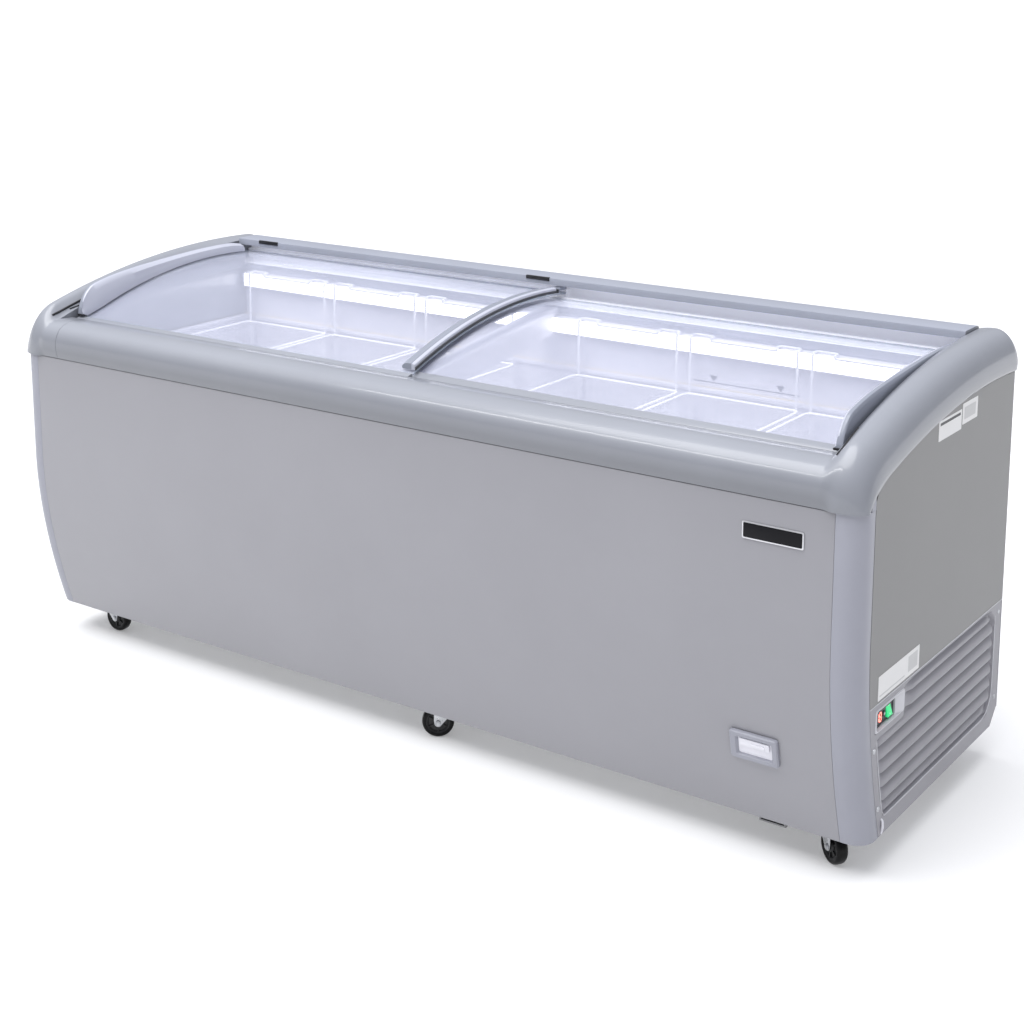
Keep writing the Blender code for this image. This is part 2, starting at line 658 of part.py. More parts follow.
def controls():
    """Recessed switch tray in the grille's pocket: display, one set button and a rocker."""
    low, high = (SIDE_X - 0.030, FRONT + 0.0853, 0.2683), (SIDE_X, FRONT + 0.2047, 0.3097)
    tray = box_mesh(low, high)
    recess = box_mesh((SIDE_X - 0.006, low[1] + 0.005, low[2] + 0.004),
                      (SIDE_X + 0.01, high[1] - 0.022, high[2] - 0.004))
    display_hole = box_mesh((SIDE_X - 0.018, FRONT + 0.0945, 0.275),
                            (SIDE_X, FRONT + 0.1225, 0.303))
    button_hole = box_mesh((SIDE_X - 0.018, FRONT + 0.1255, 0.284),
                           (SIDE_X, FRONT + 0.1345, 0.294))
    rocker_hole = box_mesh((SIDE_X - 0.018, FRONT + 0.1395, 0.275),
                           (SIDE_X, FRONT + 0.1605, 0.303))
    tray = combine(tray, [recess, display_hole, button_hole, rocker_hole], "DIFFERENCE")
    finish("control_bezel", tray, BLACK)
    display = box_mesh((SIDE_X - 0.0175, FRONT + 0.0948, 0.2753),
                       (SIDE_X - 0.0045, FRONT + 0.1222, 0.3027))
    finish("temperature_display", display, BLACK)
    button = box_mesh((SIDE_X - 0.0125, FRONT + 0.1260, 0.2845),
                      (SIDE_X - 0.0035, FRONT + 0.1340, 0.2935), 0.0008, 1)
    finish("set_button", button, BLACK)


def rocker_switch():
    centre = (SIDE_X - 0.009, FRONT + 0.150, 0.289)
    outline = [(centre[0] - 0.003, centre[2] - 0.009), (centre[0] + 0.0075, centre[2] - 0.0115),
               (centre[0] + 0.0045, centre[2]), (centre[0] + 0.0020, centre[2] + 0.0115),
               (centre[0] - 0.003, centre[2] + 0.009)]
    mesh = prism_mesh(outline, "Y", centre[1] - 0.0098, centre[1] + 0.0098)
    finish("rocker_switch", mesh, GREEN)


def compressor():
    """Welded hermetic pot on a foot plate."""
    profile = [(0.0, 0.0), (0.030, 0.0), (0.052, 0.010), (0.066, 0.030), (0.070, 0.055),
               (0.074, 0.060), (0.074, 0.068), (0.070, 0.073), (0.066, 0.105), (0.050, 0.130),
               (0.028, 0.141), (0.0, 0.144)]
    pot = turned_mesh(list(reversed(profile)), (0.750, 0.080, 0.112), steps=20)
    plate = box_mesh((0.672, -0.010, 0.0960), (0.828, 0.170, 0.1000))
    column = cylinder_mesh((0.750, 0.080, 0.110), 0.034, 0.024, sides=20)
    finish("compressor", combine(plate, [column, pot], "UNION"), BLACK)


FAN_CENTRE = (0.905, 0.060, 0.205)


def condenser_and_fan():
    block = box_mesh((0.925, -0.075, 0.105), (0.965, 0.195, 0.300))
    foot = box_mesh((0.925, -0.060, 0.0960), (0.965, 0.180, 0.110))
    finish("condenser", combine(block, [foot], "UNION"), FINS)
    x, y, z = FAN_CENTRE
    plate = box_mesh((0.9155, y - 0.115, 0.0960), (0.9185, y + 0.115, 0.304))
    hole = cylinder_mesh((0.917, y, z), 0.085, 0.02, "X", 28)
    ring = cylinder_mesh((0.908, y, z), 0.088, 0.020, "X", 28)
    ring = combine(ring, [cylinder_mesh((0.908, y, z), 0.0851, 0.03, "X", 28)], "DIFFERENCE")
    shroud = combine(combine(plate, [hole], "DIFFERENCE"), [ring], "UNION")
    motor = cylinder_mesh((0.862, y, z), 0.030, 0.044, "X", 20)
    arms = [box_mesh((0.862, y - 0.100, z - 0.006), (0.868, y + 0.100, z + 0.006)),
            box_mesh((0.862, y - 0.100, z - 0.006), (0.917, y - 0.094, z + 0.006)),
            box_mesh((0.862, y + 0.094, z - 0.006), (0.917, y + 0.100, z + 0.006))]
    finish("fan_motor_and_shroud", combine(shroud, [motor] + arms, "UNION"), BLACK)
    hub = cylinder_mesh((x - 0.006, y, z), 0.022, 0.022, "X", 20)
    blades = []
    for i in range(5):
        blade = box_mesh((-0.001, -0.018, 0.015), (0.001, 0.018, 0.080))
        turn = Matrix.Rotation(i * math.tau / 5, 4, "X") @ Matrix.Rotation(math.radians(24), 4, "Z")
        blade.transform(Matrix.Translation((x - 0.003, y, z)) @ turn)
        blades.append(blade)
    finish("fan_blade", combine(hub, blades, "UNION"), BLACK)


def underframe_channel():
    outline = [(0.795, 0.063), (0.845, 0.063), (0.845, PLATE_Z + 0.0027), (0.842, PLATE_Z + 0.0027),
               (0.842, 0.066), (0.798, 0.066), (0.798, PLATE_Z + 0.0027), (0.795, PLATE_Z + 0.0027)]
    mesh = prism_mesh(outline, "Y", FRONT + SETBACK + 0.006, BACK - 0.020)
    finish("underframe_channel", mesh, GRILLE)


def cord_gland():
    mesh = cylinder_mesh((0.690, BACK + 0.0013, 0.100), 0.011, 0.002, "Y", 20)
    collar = cylinder_mesh((0.690, BACK + 0.0033, 0.100), 0.007, 0.004, "Y", 20)
    finish("cord_gland", combine(mesh, [collar], "UNION"), BLACK)


# ---------------------------------------------------------------- front fittings


def front_fittings():
    badge = box_mesh((0.785, FRONT - 0.0028, 0.592), (0.896, FRONT - GAP, 0.622), 0.0008, 1)
    finish("badge_plate", badge, SILVER)
    x_low, x_high, z_low, z_high = 0.762, 0.852, 0.193, 0.247
    centre_z = (z_low + z_high) / 2
    tilt = math.atan2(setback(z_low) - setback(z_high), z_high - z_low)
    place = (Matrix.Translation((0, FRONT + setback(centre_z), centre_z))
             @ Matrix.Rotation(tilt, 4, "X"))
    bezel = box_mesh((x_low, -0.0085, -0.027), (x_high, -0.0008, 0.027), 0.002, 1)
    bowl = box_mesh((x_low + 0.014, -0.02, -0.017), (x_high - 0.012, -0.003, 0.017))
    bezel = combine(bezel, [bowl], "DIFFERENCE")
    bezel.transform(place)
    finish("drain_bezel", bezel, POST)
    knob = combine(box_mesh((x_low + 0.018, -0.0062, 0.000), (x_high - 0.016, -0.0034, 0.0145)),
                   [box_mesh((x_low + 0.040, -0.0080, 0.003), (x_high - 0.024, -0.0050, 0.009))],
                   "UNION")
    knob.transform(place)
    finish("drain_plug", knob, LINER_WHITE)


# ---------------------------------------------------------------- casters


def caster(name, x, y, heading):
    """Swivel fork and wheel; heading is the way the wheel trails, as an angle about +Z."""
    spin = Matrix.Translation((x, y, 0)) @ Matrix.Rotation(heading, 4, "Z")
    leg_y = WHEEL_W / 2 + 0.0022
    leg_outline = [(-0.016, 0.0760), (TRAIL - 0.007, WHEEL_R - 0.006), (TRAIL, WHEEL_R - 0.009),
                   (TRAIL + 0.007, WHEEL_R - 0.006), (TRAIL + 0.008, WHEEL_R + 0.004),
                   (0.022, 0.0760)]
    crown = cylinder_mesh((0, 0, 0.0822), 0.0215, 0.0140, sides=20)
    yoke = box_mesh((-0.016, -leg_y - 0.0012, 0.0725), (0.022, leg_y + 0.0012, 0.0760))
    legs = [prism_mesh(leg_outline, "Y", s * leg_y - 0.0012, s * leg_y + 0.0012) for s in (-1, 1)]
    axle = cylinder_mesh((TRAIL, 0, WHEEL_R), 0.0040, 2 * leg_y + 0.008, "Y", 16)
    fork = combine(crown, [yoke] + legs + [axle], "UNION")
    fork.transform(spin)
    finish(f"{name}_caster_fork", fork, ZINC)
    half = WHEEL_W / 2
    profile = [(0.0044, half), (0.012, half), (0.012, half - 0.002), (WHEEL_R - 0.009, half - 0.002),
               (WHEEL_R - 0.006, half), (WHEEL_R - 0.003, half - 0.001), (WHEEL_R, half - 0.005),
               (WHEEL_R, -half + 0.005), (WHEEL_R - 0.003, -half + 0.001), (WHEEL_R - 0.006, -half),
               (WHEEL_R - 0.009, -half + 0.002), (0.012, -half + 0.002), (0.012, -half),
               (0.0044, -half)]
    wheel = turned_mesh(profile, (0, 0, 0), "Y", 24)
    wheel.transform(spin @ Matrix.Translation((TRAIL, 0, WHEEL_R)))
    finish(f"{name}_caster_wheel", wheel, RUBBER)


# ---------------------------------------------------------------- assembly

front_panel()
corner_posts()
side_panels()
back_panel()
base_pan()
inner_liner()
foam_insulation()
collar_front_rail()
collar_rear_rail()
rear_upstand()
collar_ends()
center_beam()
led_strip()
lid("left", -1, 0.0)
lid("right", 1, -LID_DROP)
for side, sign in (("left", -1), ("right", 1)):
    for number, offset in enumerate(BASKET_X, start=1):
        basket(f"{side}_basket_{number}", sign * offset)
side_grille()
controls()
rocker_switch()
compressor()
condenser_and_fan()
underframe_channel()
cord_gland()
front_fittings()
for caster_place in caster_positions():
    caster(*caster_place)
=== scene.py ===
"""Looks of the display chest freezer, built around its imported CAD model.

The frame is the part's own: +X along the length towards the machine compartment, +Y from front
to back and +Z up, in metres, with the origin on the floor under the middle of the cabinet.
"""

import math

import bmesh
import bpy
from mathutils import Matrix, Vector
from mathutils.bvhtree import BVHTree


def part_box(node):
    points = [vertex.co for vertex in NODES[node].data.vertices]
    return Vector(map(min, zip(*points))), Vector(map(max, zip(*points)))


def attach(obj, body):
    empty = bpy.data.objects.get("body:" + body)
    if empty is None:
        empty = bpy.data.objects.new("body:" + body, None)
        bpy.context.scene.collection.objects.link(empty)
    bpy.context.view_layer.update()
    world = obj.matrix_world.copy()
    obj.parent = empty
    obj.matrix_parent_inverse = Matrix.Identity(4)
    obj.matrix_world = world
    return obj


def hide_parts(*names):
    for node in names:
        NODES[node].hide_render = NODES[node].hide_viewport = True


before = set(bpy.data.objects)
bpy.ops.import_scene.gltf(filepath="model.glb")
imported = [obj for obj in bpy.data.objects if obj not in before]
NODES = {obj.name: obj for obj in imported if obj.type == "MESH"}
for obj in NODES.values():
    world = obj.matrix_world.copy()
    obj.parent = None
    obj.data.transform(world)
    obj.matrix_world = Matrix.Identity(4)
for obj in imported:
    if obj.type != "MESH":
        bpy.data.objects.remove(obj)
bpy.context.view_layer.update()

# ---------------------------------------------------------------- dimensions of the part

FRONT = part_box("front_panel")[0].y
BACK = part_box("back_panel")[1].y
BASE_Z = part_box("front_panel")[0].z
SEAM_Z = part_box("collar_front_rail")[0].z
POST_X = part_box("front_panel")[1].x
SIDE_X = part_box("right_side_panel")[1].x
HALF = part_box("collar_right_end")[1].x
END_X = 0.9203
JOINT_X = 0.88
LID_END_X = 0.915
POST_DEPTH = 0.052
POST_RADIUS = 0.036
CURVE_Z = 0.432
SETBACK = 0.066
GLASS = 0.004
LID_DROP = 0.012
TRACK_Z = 0.712
SLOT_Z = 0.7865
WHEEL_R = 0.032
WHEEL_W = 0.022
TRAIL = 0.025
SIDES = (("left", -1), ("right", 1))

# ---------------------------------------------------------------- materials


def node(tree, kind, **inputs):
    made = tree.nodes.new(kind)
    for name, value in inputs.items():
        made.inputs[name.replace("_", " ")].default_value = value
    return made


def surface(name, colour, rough, metallic=0.0, shade=0.06, shade_scale=6.0, rough_var=0.06,
            grain=0.0, grain_scale=900.0, stretch=(1, 1, 1), kind="NOISE", wave=0.0,
            wave_scale=60.0, **plain):
    """Principled surface with colour and roughness variation and a fine raised grain."""
    made = bpy.data.materials.new(name)
    made.use_nodes = True
    tree = made.node_tree
    link = tree.links.new
    shader = tree.nodes["Principled BSDF"]
    shader.inputs["Metallic"].default_value = metallic
    for key, value in plain.items():
        shader.inputs[key.replace("_", " ")].default_value = value
    where = tree.nodes.new("ShaderNodeTexCoord")
    placed = tree.nodes.new("ShaderNodeMapping")
    placed.inputs["Scale"].default_value = stretch
    link(where.outputs["Object"], placed.inputs["Vector"])
    broad = node(tree, "ShaderNodeTexNoise", Scale=shade_scale, Detail=5.0, Roughness=0.6)
    link(placed.outputs["Vector"], broad.inputs["Vector"])
    tint = tree.nodes.new("ShaderNodeValToRGB")
    for stop, place, factor in zip(tint.color_ramp.elements, (0.3, 0.7), (1 - shade, 1 + shade)):
        stop.position = place
        stop.color = (*(min(1, c * factor) for c in colour), 1)
    link(broad.outputs["Fac"], tint.inputs["Fac"])
    link(tint.outputs["Color"], shader.inputs["Base Color"])
    if kind == "CELLS":
        fine = node(tree, "ShaderNodeTexVoronoi", Scale=grain_scale)
        height = fine.outputs["Distance"]
    else:
        fine = node(tree, "ShaderNodeTexNoise", Scale=grain_scale, Detail=3.0, Roughness=0.55)
        height = fine.outputs["Fac"]
    link(placed.outputs["Vector"], fine.inputs["Vector"])
    spread = node(tree, "ShaderNodeMapRange")
    spread.inputs["To Min"].default_value = max(0.02, rough - rough_var)
    spread.inputs["To Max"].default_value = min(1.0, rough + rough_var)
    link(height, spread.inputs["Value"])
    link(spread.outputs["Result"], shader.inputs["Roughness"])
    bump = node(tree, "ShaderNodeBump", Strength=grain, Distance=0.0004)
    link(height, bump.inputs["Height"])
    if wave:
        slow = node(tree, "ShaderNodeTexNoise", Scale=wave_scale, Detail=1.0)
        link(where.outputs["Object"], slow.inputs["Vector"])
        low = node(tree, "ShaderNodeBump", Strength=wave, Distance=0.002)
        link(slow.outputs["Fac"], low.inputs["Height"])
        link(low.outputs["Normal"], bump.inputs["Normal"])
    link(bump.outputs["Normal"], shader.inputs["Normal"])
    return made


def glowing(name, colour, strength, shade_scale=55.0):
    made = surface(name, colour, 0.35, shade=0.02, shade_scale=shade_scale, grain=0.05)
    shader = made.node_tree.nodes["Principled BSDF"]
    shader.inputs["Emission Color"].default_value = (*colour, 1)
    shader.inputs["Emission Strength"].default_value = strength
    return made


def clear_glass(name, colour, normal_alpha, edge_alpha, rough=0.03):
    """Thin glass: see-through from above and more of a mirror at a flat angle."""
    made = surface(name, colour, rough, shade=0.03, shade_scale=9.0, rough_var=0.015,
                   grain=0.01, grain_scale=140.0)
    tree = made.node_tree
    link = tree.links.new
    shader = tree.nodes["Principled BSDF"]
    angle = node(tree, "ShaderNodeLayerWeight", Blend=0.22)
    spread = node(tree, "ShaderNodeMapRange")
    spread.inputs["To Min"].default_value = normal_alpha
    spread.inputs["To Max"].default_value = edge_alpha
    link(angle.outputs["Fresnel"], spread.inputs["Value"])
    link(spread.outputs["Result"], shader.inputs["Alpha"])
    return made


def paint_shade_below(made, least):
    """Painted shade: full colour on faces that look up, darker by a factor of least on faces that don't,
    as if lit from above.
    """
    tree = made.node_tree
    link = tree.links.new
    base = tree.nodes["Principled BSDF"].inputs["Base Color"]
    colour = base.links[0].from_socket
    facing = tree.nodes.new("ShaderNodeNewGeometry")
    split = tree.nodes.new("ShaderNodeSeparateXYZ")
    link(facing.outputs["Normal"], split.inputs["Vector"])
    spread = node(tree, "ShaderNodeMapRange", From_Min=-0.15, From_Max=0.85, To_Min=least)
    link(split.outputs["Z"], spread.inputs["Value"])
    scaled = tree.nodes.new("ShaderNodeVectorMath")
    scaled.operation = "SCALE"
    link(colour, scaled.inputs[0])
    link(spread.outputs["Result"], scaled.inputs["Scale"])
    link(scaled.outputs["Vector"], base)


PAINTED = dict(shade=0.025, shade_scale=3.0, grain=0.1, grain_scale=650.0, wave=0.02,
               wave_scale=14.0)
PANEL = surface("grey_painted_steel", (0.298, 0.296, 0.318), 0.38, 0.15, **PAINTED)
# painted shade: a darker copy of the panel paint for the side panels
SHADED_SIDE_PAINT = surface("grey_paint_side_painted_shade", (0.206, 0.205, 0.203), 0.42, 0.1, **PAINTED)
POST = surface("grey_post_plastic", (0.3, 0.305, 0.35), 0.4, shade=0.03, grain=0.14,
               grain_scale=1500.0)
MOULDED = dict(shade=0.03, shade_scale=5.0, grain=0.05, grain_scale=1800.0, wave=0.02,
               wave_scale=22.0)
COLLAR = surface("collar_plastic", (0.322, 0.336, 0.376), 0.34, Coat_Weight=0.5,
                 Coat_Roughness=0.1, **MOULDED)
# painted shade: the collar's colour darkens on faces that look down
paint_shade_below(COLLAR, 0.55)
# painted light: a lighter, bluer copy of the collar plastic for the rear rail's top and front lip
RAIL_TOP_PAINTED_LIGHT = surface("rear_rail_painted_light_plastic", (0.355, 0.375, 0.44), 0.34, **MOULDED)
LINER_WHITE = surface("liner_white", (0.73, 0.725, 0.775), 0.34, shade=0.02, grain=0.12,
                      grain_scale=380.0, kind="CELLS")
FOAM = surface("polyurethane_foam", (0.72, 0.6, 0.32), 0.92, shade=0.16, shade_scale=30.0,
               grain=0.8, grain_scale=420.0, kind="CELLS", wave=0.5, wave_scale=40.0)
LID_PLASTIC = surface("lid_bar_plastic", (0.3, 0.32, 0.38), 0.3, shade=0.03, grain=0.06,
                      grain_scale=1600.0)
# painted light: a lighter copy of the lid bar plastic for the grips' inner slopes and the middle bars
LID_PAINTED_LIGHT = surface("lid_bar_painted_light_plastic", (0.56, 0.575, 0.66), 0.3, shade=0.02, grain=0.05,
                    grain_scale=1600.0)
WIRE = surface("coated_wire", (0.88, 0.88, 0.92), 0.3, shade=0.02, grain=0.1,
               grain_scale=700.0, Coat_Weight=0.3)
GRILLE = surface("grille_plastic", (0.285, 0.28, 0.305), 0.42, shade=0.05, grain=0.16,
                 grain_scale=1500.0)
# pale plastic of the control surround, also used for the grille's painted edge highlight
PALE_TRIM_AND_EDGE_HIGHLIGHT = surface("pale_trim_and_edge_highlight_plastic", (0.55, 0.55, 0.58), 0.38, shade=0.03, grain=0.1,
                      grain_scale=1500.0)
BLACK = surface("black_plastic", (0.013, 0.013, 0.015), 0.38, shade=0.2, grain=0.15,
                grain_scale=1300.0)
GLOSS_BLACK = surface("gloss_black", (0.008, 0.008, 0.01), 0.3, shade=0.15, grain=0.02,
                      Specular_IOR_Level=0.15)
SILVER = surface("satin_metal", (0.62, 0.62, 0.64), 0.32, 0.95, shade=0.05, grain=0.1,
                 grain_scale=900.0, stretch=(1, 1, 14))
ZINC = surface("zinc_steel", (0.55, 0.56, 0.58), 0.36, 0.9, shade=0.14, shade_scale=120.0,
               rough_var=0.12, grain=0.12, grain_scale=260.0, kind="CELLS")
DARK_STEEL = surface("dark_steel", (0.2, 0.2, 0.205), 0.48, 0.4, shade=0.15, grain=0.25,
                     grain_scale=500.0)
RUBBER = surface("wheel_rubber", (0.002, 0.002, 0.0025), 0.3, shade=0.25, shade_scale=70.0,
                 rough_var=0.08, grain=0.15, grain_scale=1100.0, Specular_IOR_Level=0.18)
HUB = surface("wheel_hub_plastic", (0.005, 0.005, 0.006), 0.42, shade=0.15, grain=0.15,
              grain_scale=1400.0)
LAMP = glowing("led_lens", (0.97, 0.97, 1.0), 3.2)
# painted light: the rear rail's slot lining and the rear runners glow faintly to stand in for lamp light
# in their shade; they are no lamp
RAIL_LINING_PAINTED_GLOW = glowing("rail_lining_painted_glow", (0.93, 0.94, 1.0), 0.08)
GREEN = glowing("switch_green", (0.02, 0.62, 0.2), 0.55)
DIGIT = glowing("display_digit", (1.0, 0.16, 0.12), 4.0)
PAPER = surface("label_paper", (0.74, 0.735, 0.73), 0.5, shade=0.03, grain=0.08)
PAPER_MARK = surface("label_blank_field", (0.55, 0.55, 0.55), 0.55, shade=0.06, grain=0.08)
LABEL_DARK = surface("label_dark_field", (0.06, 0.06, 0.065), 0.5, shade=0.1, grain=0.08)
GREY_PRINT = surface("load_line_print", (0.06, 0.06, 0.07), 0.5, shade=0.06, grain=0.05)
POT = surface("compressor_paint", (0.016, 0.016, 0.018), 0.34, 0.2, shade=0.2, grain=0.3,
              grain_scale=420.0)
COPPER = surface("copper_pipe", (0.72, 0.36, 0.22), 0.3, 0.95, shade=0.16, shade_scale=60.0,
                 grain=0.08)
FINS = surface("condenser_aluminium", (0.5, 0.51, 0.52), 0.42, 0.85, shade=0.08,
               shade_scale=40.0, grain=0.12)
# dark seal on the upper middle bar, also the painted shade behind the collar's gap
DARK_SEAL_AND_GAP_SHADE = surface("dark_seal_and_gap_shade", (0.055, 0.058, 0.066), 0.6, shade=0.1, grain=0.2)
GLASS_CLEAR = clear_glass("lid_glass", (0.72, 0.75, 0.9), 0.03, 0.42)
GLASS_EDGE = clear_glass("lid_glass_edge", (0.45, 0.52, 0.6), 0.45, 0.9, 0.1)

# ---------------------------------------------------------------- mesh building


def flat(points, axis, value):
    """Points of a flat outline at one place along an axis."""
    if axis == "X":
        return [(value, u, v) for u, v in points]
    if axis == "Y":
        return [(u, value, v) for u, v in points]
    return [(u, v, value) for u, v in points]


class Shape:
    """Gathers closed shapes in one mesh; look is the index of each shape's material."""

    def __init__(self):
        self.work = bmesh.new()

    def _close(self, faces, look, bevel=0.0, segments=2):
        bmesh.ops.recalc_face_normals(self.work, faces=faces)
        for face in faces:
            face.material_index = look
        if bevel:
            edges = dict.fromkeys(e for f in faces for e in f.edges)
            sharp = [e for e in edges
                     if len(e.link_faces) == 2 and e.calc_face_angle(0.0) > math.radians(28)]
            bmesh.ops.bevel(self.work, geom=sharp, offset=bevel, segments=segments,
                            affect="EDGES", profile=0.5, clamp_overlap=True, material=-1)
        return self

    def loft(self, rings, look=0, bevel=0.0, segments=2, around=False):
        """Skin over rings; around joins the last ring to the first instead of capping them."""
        rows = [[self.work.verts.new(p) for p in ring] for ring in rings]
        count = len(rows[0])
        faces = []
        pairs = list(zip(rows, rows[1:]))
        if around:
            pairs.append((rows[-1], rows[0]))
        for first, second in pairs:
            for i in range(count):
                j = (i + 1) % count
                faces.append(self.work.faces.new((first[i], first[j], second[j], second[i])))
        if not around:
            faces.append(self.work.faces.new(list(reversed(rows[0]))))
            faces.append(self.work.faces.new(rows[-1]))
        return self._close(faces, look, bevel, segments)

    def prism(self, outline, axis, low, high, look=0, bevel=0.0, segments=2):
        return self.loft([flat(outline, axis, low), flat(outline, axis, high)], look, bevel,
                         segments)

    def box(self, corner, opposite, look=0, bevel=0.0, segments=2):
        low, high = zip(*(sorted(pair) for pair in zip(corner, opposite)))
        outline = [(low[0], low[1]), (high[0], low[1]), (high[0], high[1]), (low[0], high[1])]
        return self.prism(outline, "Z", low[2], high[2], look, bevel, segments)

    def cylinder(self, centre, radius, depth, axis="Z", sides=32, look=0, bevel=0.0):
        half = depth / 2
        edge = min(bevel, radius * 0.4) if bevel else 0.0
        profile = [(0.0, -half), (radius - edge, -half), (radius, -half + edge),
                   (radius, half - edge), (radius - edge, half), (0.0, half)]
        return self.turned([p for i, p in enumerate(profile) if edge or i not in (2, 4)],
                           centre, axis, sides, look)

    def turned(self, profile, centre, axis="Z", sides=40, look=0):
        """Profile of (radius, height) turned about an axis; ends at radius 0 are closed."""
        turn = {"X": Matrix.Rotation(math.pi / 2, 4, "Y"),
                "Y": Matrix.Rotation(-math.pi / 2, 4, "X"), "Z": Matrix.Identity(4)}[axis]
        place = Matrix.Translation(centre) @ turn
        rows = []
        for radius, height in profile:
            if radius < 1e-7:
                rows.append([self.work.verts.new(place @ Vector((0, 0, height)))])
                continue
            rows.append([self.work.verts.new(place @ Vector((
                radius * math.cos(math.tau * i / sides), radius * math.sin(math.tau * i / sides),
                height))) for i in range(sides)])
        faces = []
        pairs = list(zip(rows, rows[1:]))
        if len(rows[0]) > 1:
            pairs.append((rows[-1], rows[0]))
        for first, second in pairs:
            for i in range(sides):
                j = (i + 1) % sides
                ends = [first[i % len(first)], first[j % len(first)], second[j % len(second)],
                        second[i % len(second)]]
                corners = [v for k, v in enumerate(ends) if v not in ends[:k]]
                faces.append(self.work.faces.new(corners))
        return self._close(faces, look)

    def tube(self, points, radius, sides=8, look=0, around=False):
        """Round bar along points, with flat ends unless it goes around."""
        points = [Vector(p) for p in points]
        count = len(points)
        rings = []
        side = None
        for i, point in enumerate(points):
            before = points[(i - 1) % count] if around or i else point
            after = points[(i + 1) % count] if around or i < count - 1 else point
            along = (after - before).normalized()
            if side is None:
                side = along.orthogonal().normalized()
            side = (side - along * side.dot(along)).normalized()
            other = along.cross(side)
            rings.append([point + (side * math.cos(a) + other * math.sin(a)) * radius
                          for a in (math.tau * k / sides for k in range(sides))])
        return self.loft(rings, look, around=around)

    def moved(self, matrix, since=0):
        """Carry the shapes added after vertex number since by a matrix."""
        self.work.verts.ensure_lookup_table()
        bmesh.ops.transform(self.work, matrix=matrix, verts=self.work.verts[since:])
        return self

    def count(self):
        return len(self.work.verts)

    def mirror(self):
        """Turn everything gathered so far over to the other side of the plane x = 0."""
        bmesh.ops.scale(self.work, vec=(-1, 1, 1), verts=self.work.verts)
        bmesh.ops.reverse_faces(self.work, faces=self.work.faces)
        return self

    def piece(self, name, looks, slot, *stands_for, body="cabinet", angle=38.0):
        """Make the object, with its materials, and let it ride on its body."""
        mesh = bpy.data.meshes.new(name)
        self.work.to_mesh(mesh)
        self.work.free()
        for look in looks if isinstance(looks, (list, tuple)) else [looks]:
            mesh.materials.append(look)
        mesh.shade_smooth()
        mesh.set_sharp_from_angle(angle=math.radians(angle))
        made = bpy.data.objects.new(name, mesh)
        bpy.context.scene.collection.objects.link(made)
        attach(made, body)
        if stands_for:
            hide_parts(*stands_for)
        return made


def rounded(points, radius, steps=5, around=False):
    """A polyline in space with its corners rounded to a radius."""
    points = [Vector(p) for p in points]
    count = len(points)
    result = [] if around else [points[0]]
    for i in range(0 if around else 1, count if around else count - 1):
        before, corner, after = points[i - 1], points[i], points[(i + 1) % count]
        into, out = (before - corner), (after - corner)
        cut = min(radius, into.length * 0.45, out.length * 0.45)
        start, end = corner + into.normalized() * cut, corner + out.normalized() * cut
        for k in range(steps + 1):
            t = k / steps
            result.append(start * (1 - t) ** 2 + corner * 2 * t * (1 - t) + end * t * t)
    if not around:
        result.append(points[-1])
    return result


def rounded_outline(low, high, radius, steps=6):
    """Rectangle with rounded corners, as an outline of pairs."""
    (u0, v0), (u1, v1) = low, high
    outline = []
    for cu, cv, start in ((u1 - radius, v0 + radius, -90), (u1 - radius, v1 - radius, 0),
                          (u0 + radius, v1 - radius, 90), (u0 + radius, v0 + radius, 180)):
        for k in range(steps + 1):
            a = math.radians(start + 90 * k / steps)
            outline.append((cu + radius * math.cos(a), cv + radius * math.sin(a)))
    return outline


# ---------------------------------------------------------------- shared curves


def at(depth, z):
    """(y, z) of a point given by its depth behind the front panel."""
    return (FRONT + depth, z)


def between(first, second, share):
    return tuple(a + (b - a) * share for a, b in zip(first, second))


def setback(z):
    """How far the front stands behind its top at a height."""
    if z >= CURVE_Z:
        return 0.0
    return SETBACK * ((CURVE_Z - z) / (CURVE_Z - BASE_Z)) ** 1.8


def heights_between(low, high, steps=56):
    return [low + (CURVE_Z - low) * i / steps for i in range(steps)] + [CURVE_Z, high]


def circle_through(a, b, c):
    (ax, ay), (bx, by), (cx, cy) = a, b, c
    d = 2 * (ax * (by - cy) + bx * (cy - ay) + cx * (ay - by))
    sa, sb, sc = ax * ax + ay * ay, bx * bx + by * by, cx * cx + cy * cy
    ux = (sa * (by - cy) + sb * (cy - ay) + sc * (ay - by)) / d
    uy = (sa * (cx - bx) + sb * (ax - cx) + sc * (bx - ax)) / d
    return (ux, uy), math.hypot(ax - ux, ay - uy)


def arc_through(a, b, c, steps):
    (ux, uy), radius = circle_through(a, b, c)
    start = math.atan2(a[1] - uy, a[0] - ux)
    end = math.atan2(c[1] - uy, c[0] - ux)
    angles = [start + (end - start) * i / steps for i in range(steps + 1)]
    return [(ux + radius * math.cos(t), uy + radius * math.sin(t)) for t in angles]


def bezier(p0, p1, p2, p3, steps):
    points = []
    for i in range(steps + 1):
        t = i / steps
        weights = ((1 - t) ** 3, 3 * t * (1 - t) ** 2, 3 * t * t * (1 - t), t ** 3)
        points.append(tuple(sum(w * p[k] for w, p in zip(weights, (p0, p1, p2, p3)))
                            for k in range(2)))
    return points


def smooth_through(points, steps):
    """Smooth curve through pairs whose first numbers rise (Catmull-Rom)."""
    result = []
    for i in range(len(points) - 1):
        p0 = points[max(i - 1, 0)]
        p1, p2 = points[i], points[i + 1]
        p3 = points[min(i + 2, len(points) - 1)]
        for k in range(steps):
            t = k / steps
            result.append(tuple(
                0.5 * (2 * p1[n] + (p2[n] - p0[n]) * t
                       + (2 * p0[n] - 5 * p1[n] + 4 * p2[n] - p3[n]) * t * t
                       + (3 * p1[n] - p0[n] - 3 * p2[n] + p3[n]) * t ** 3) for n in range(2)))
    return result + [points[-1]]


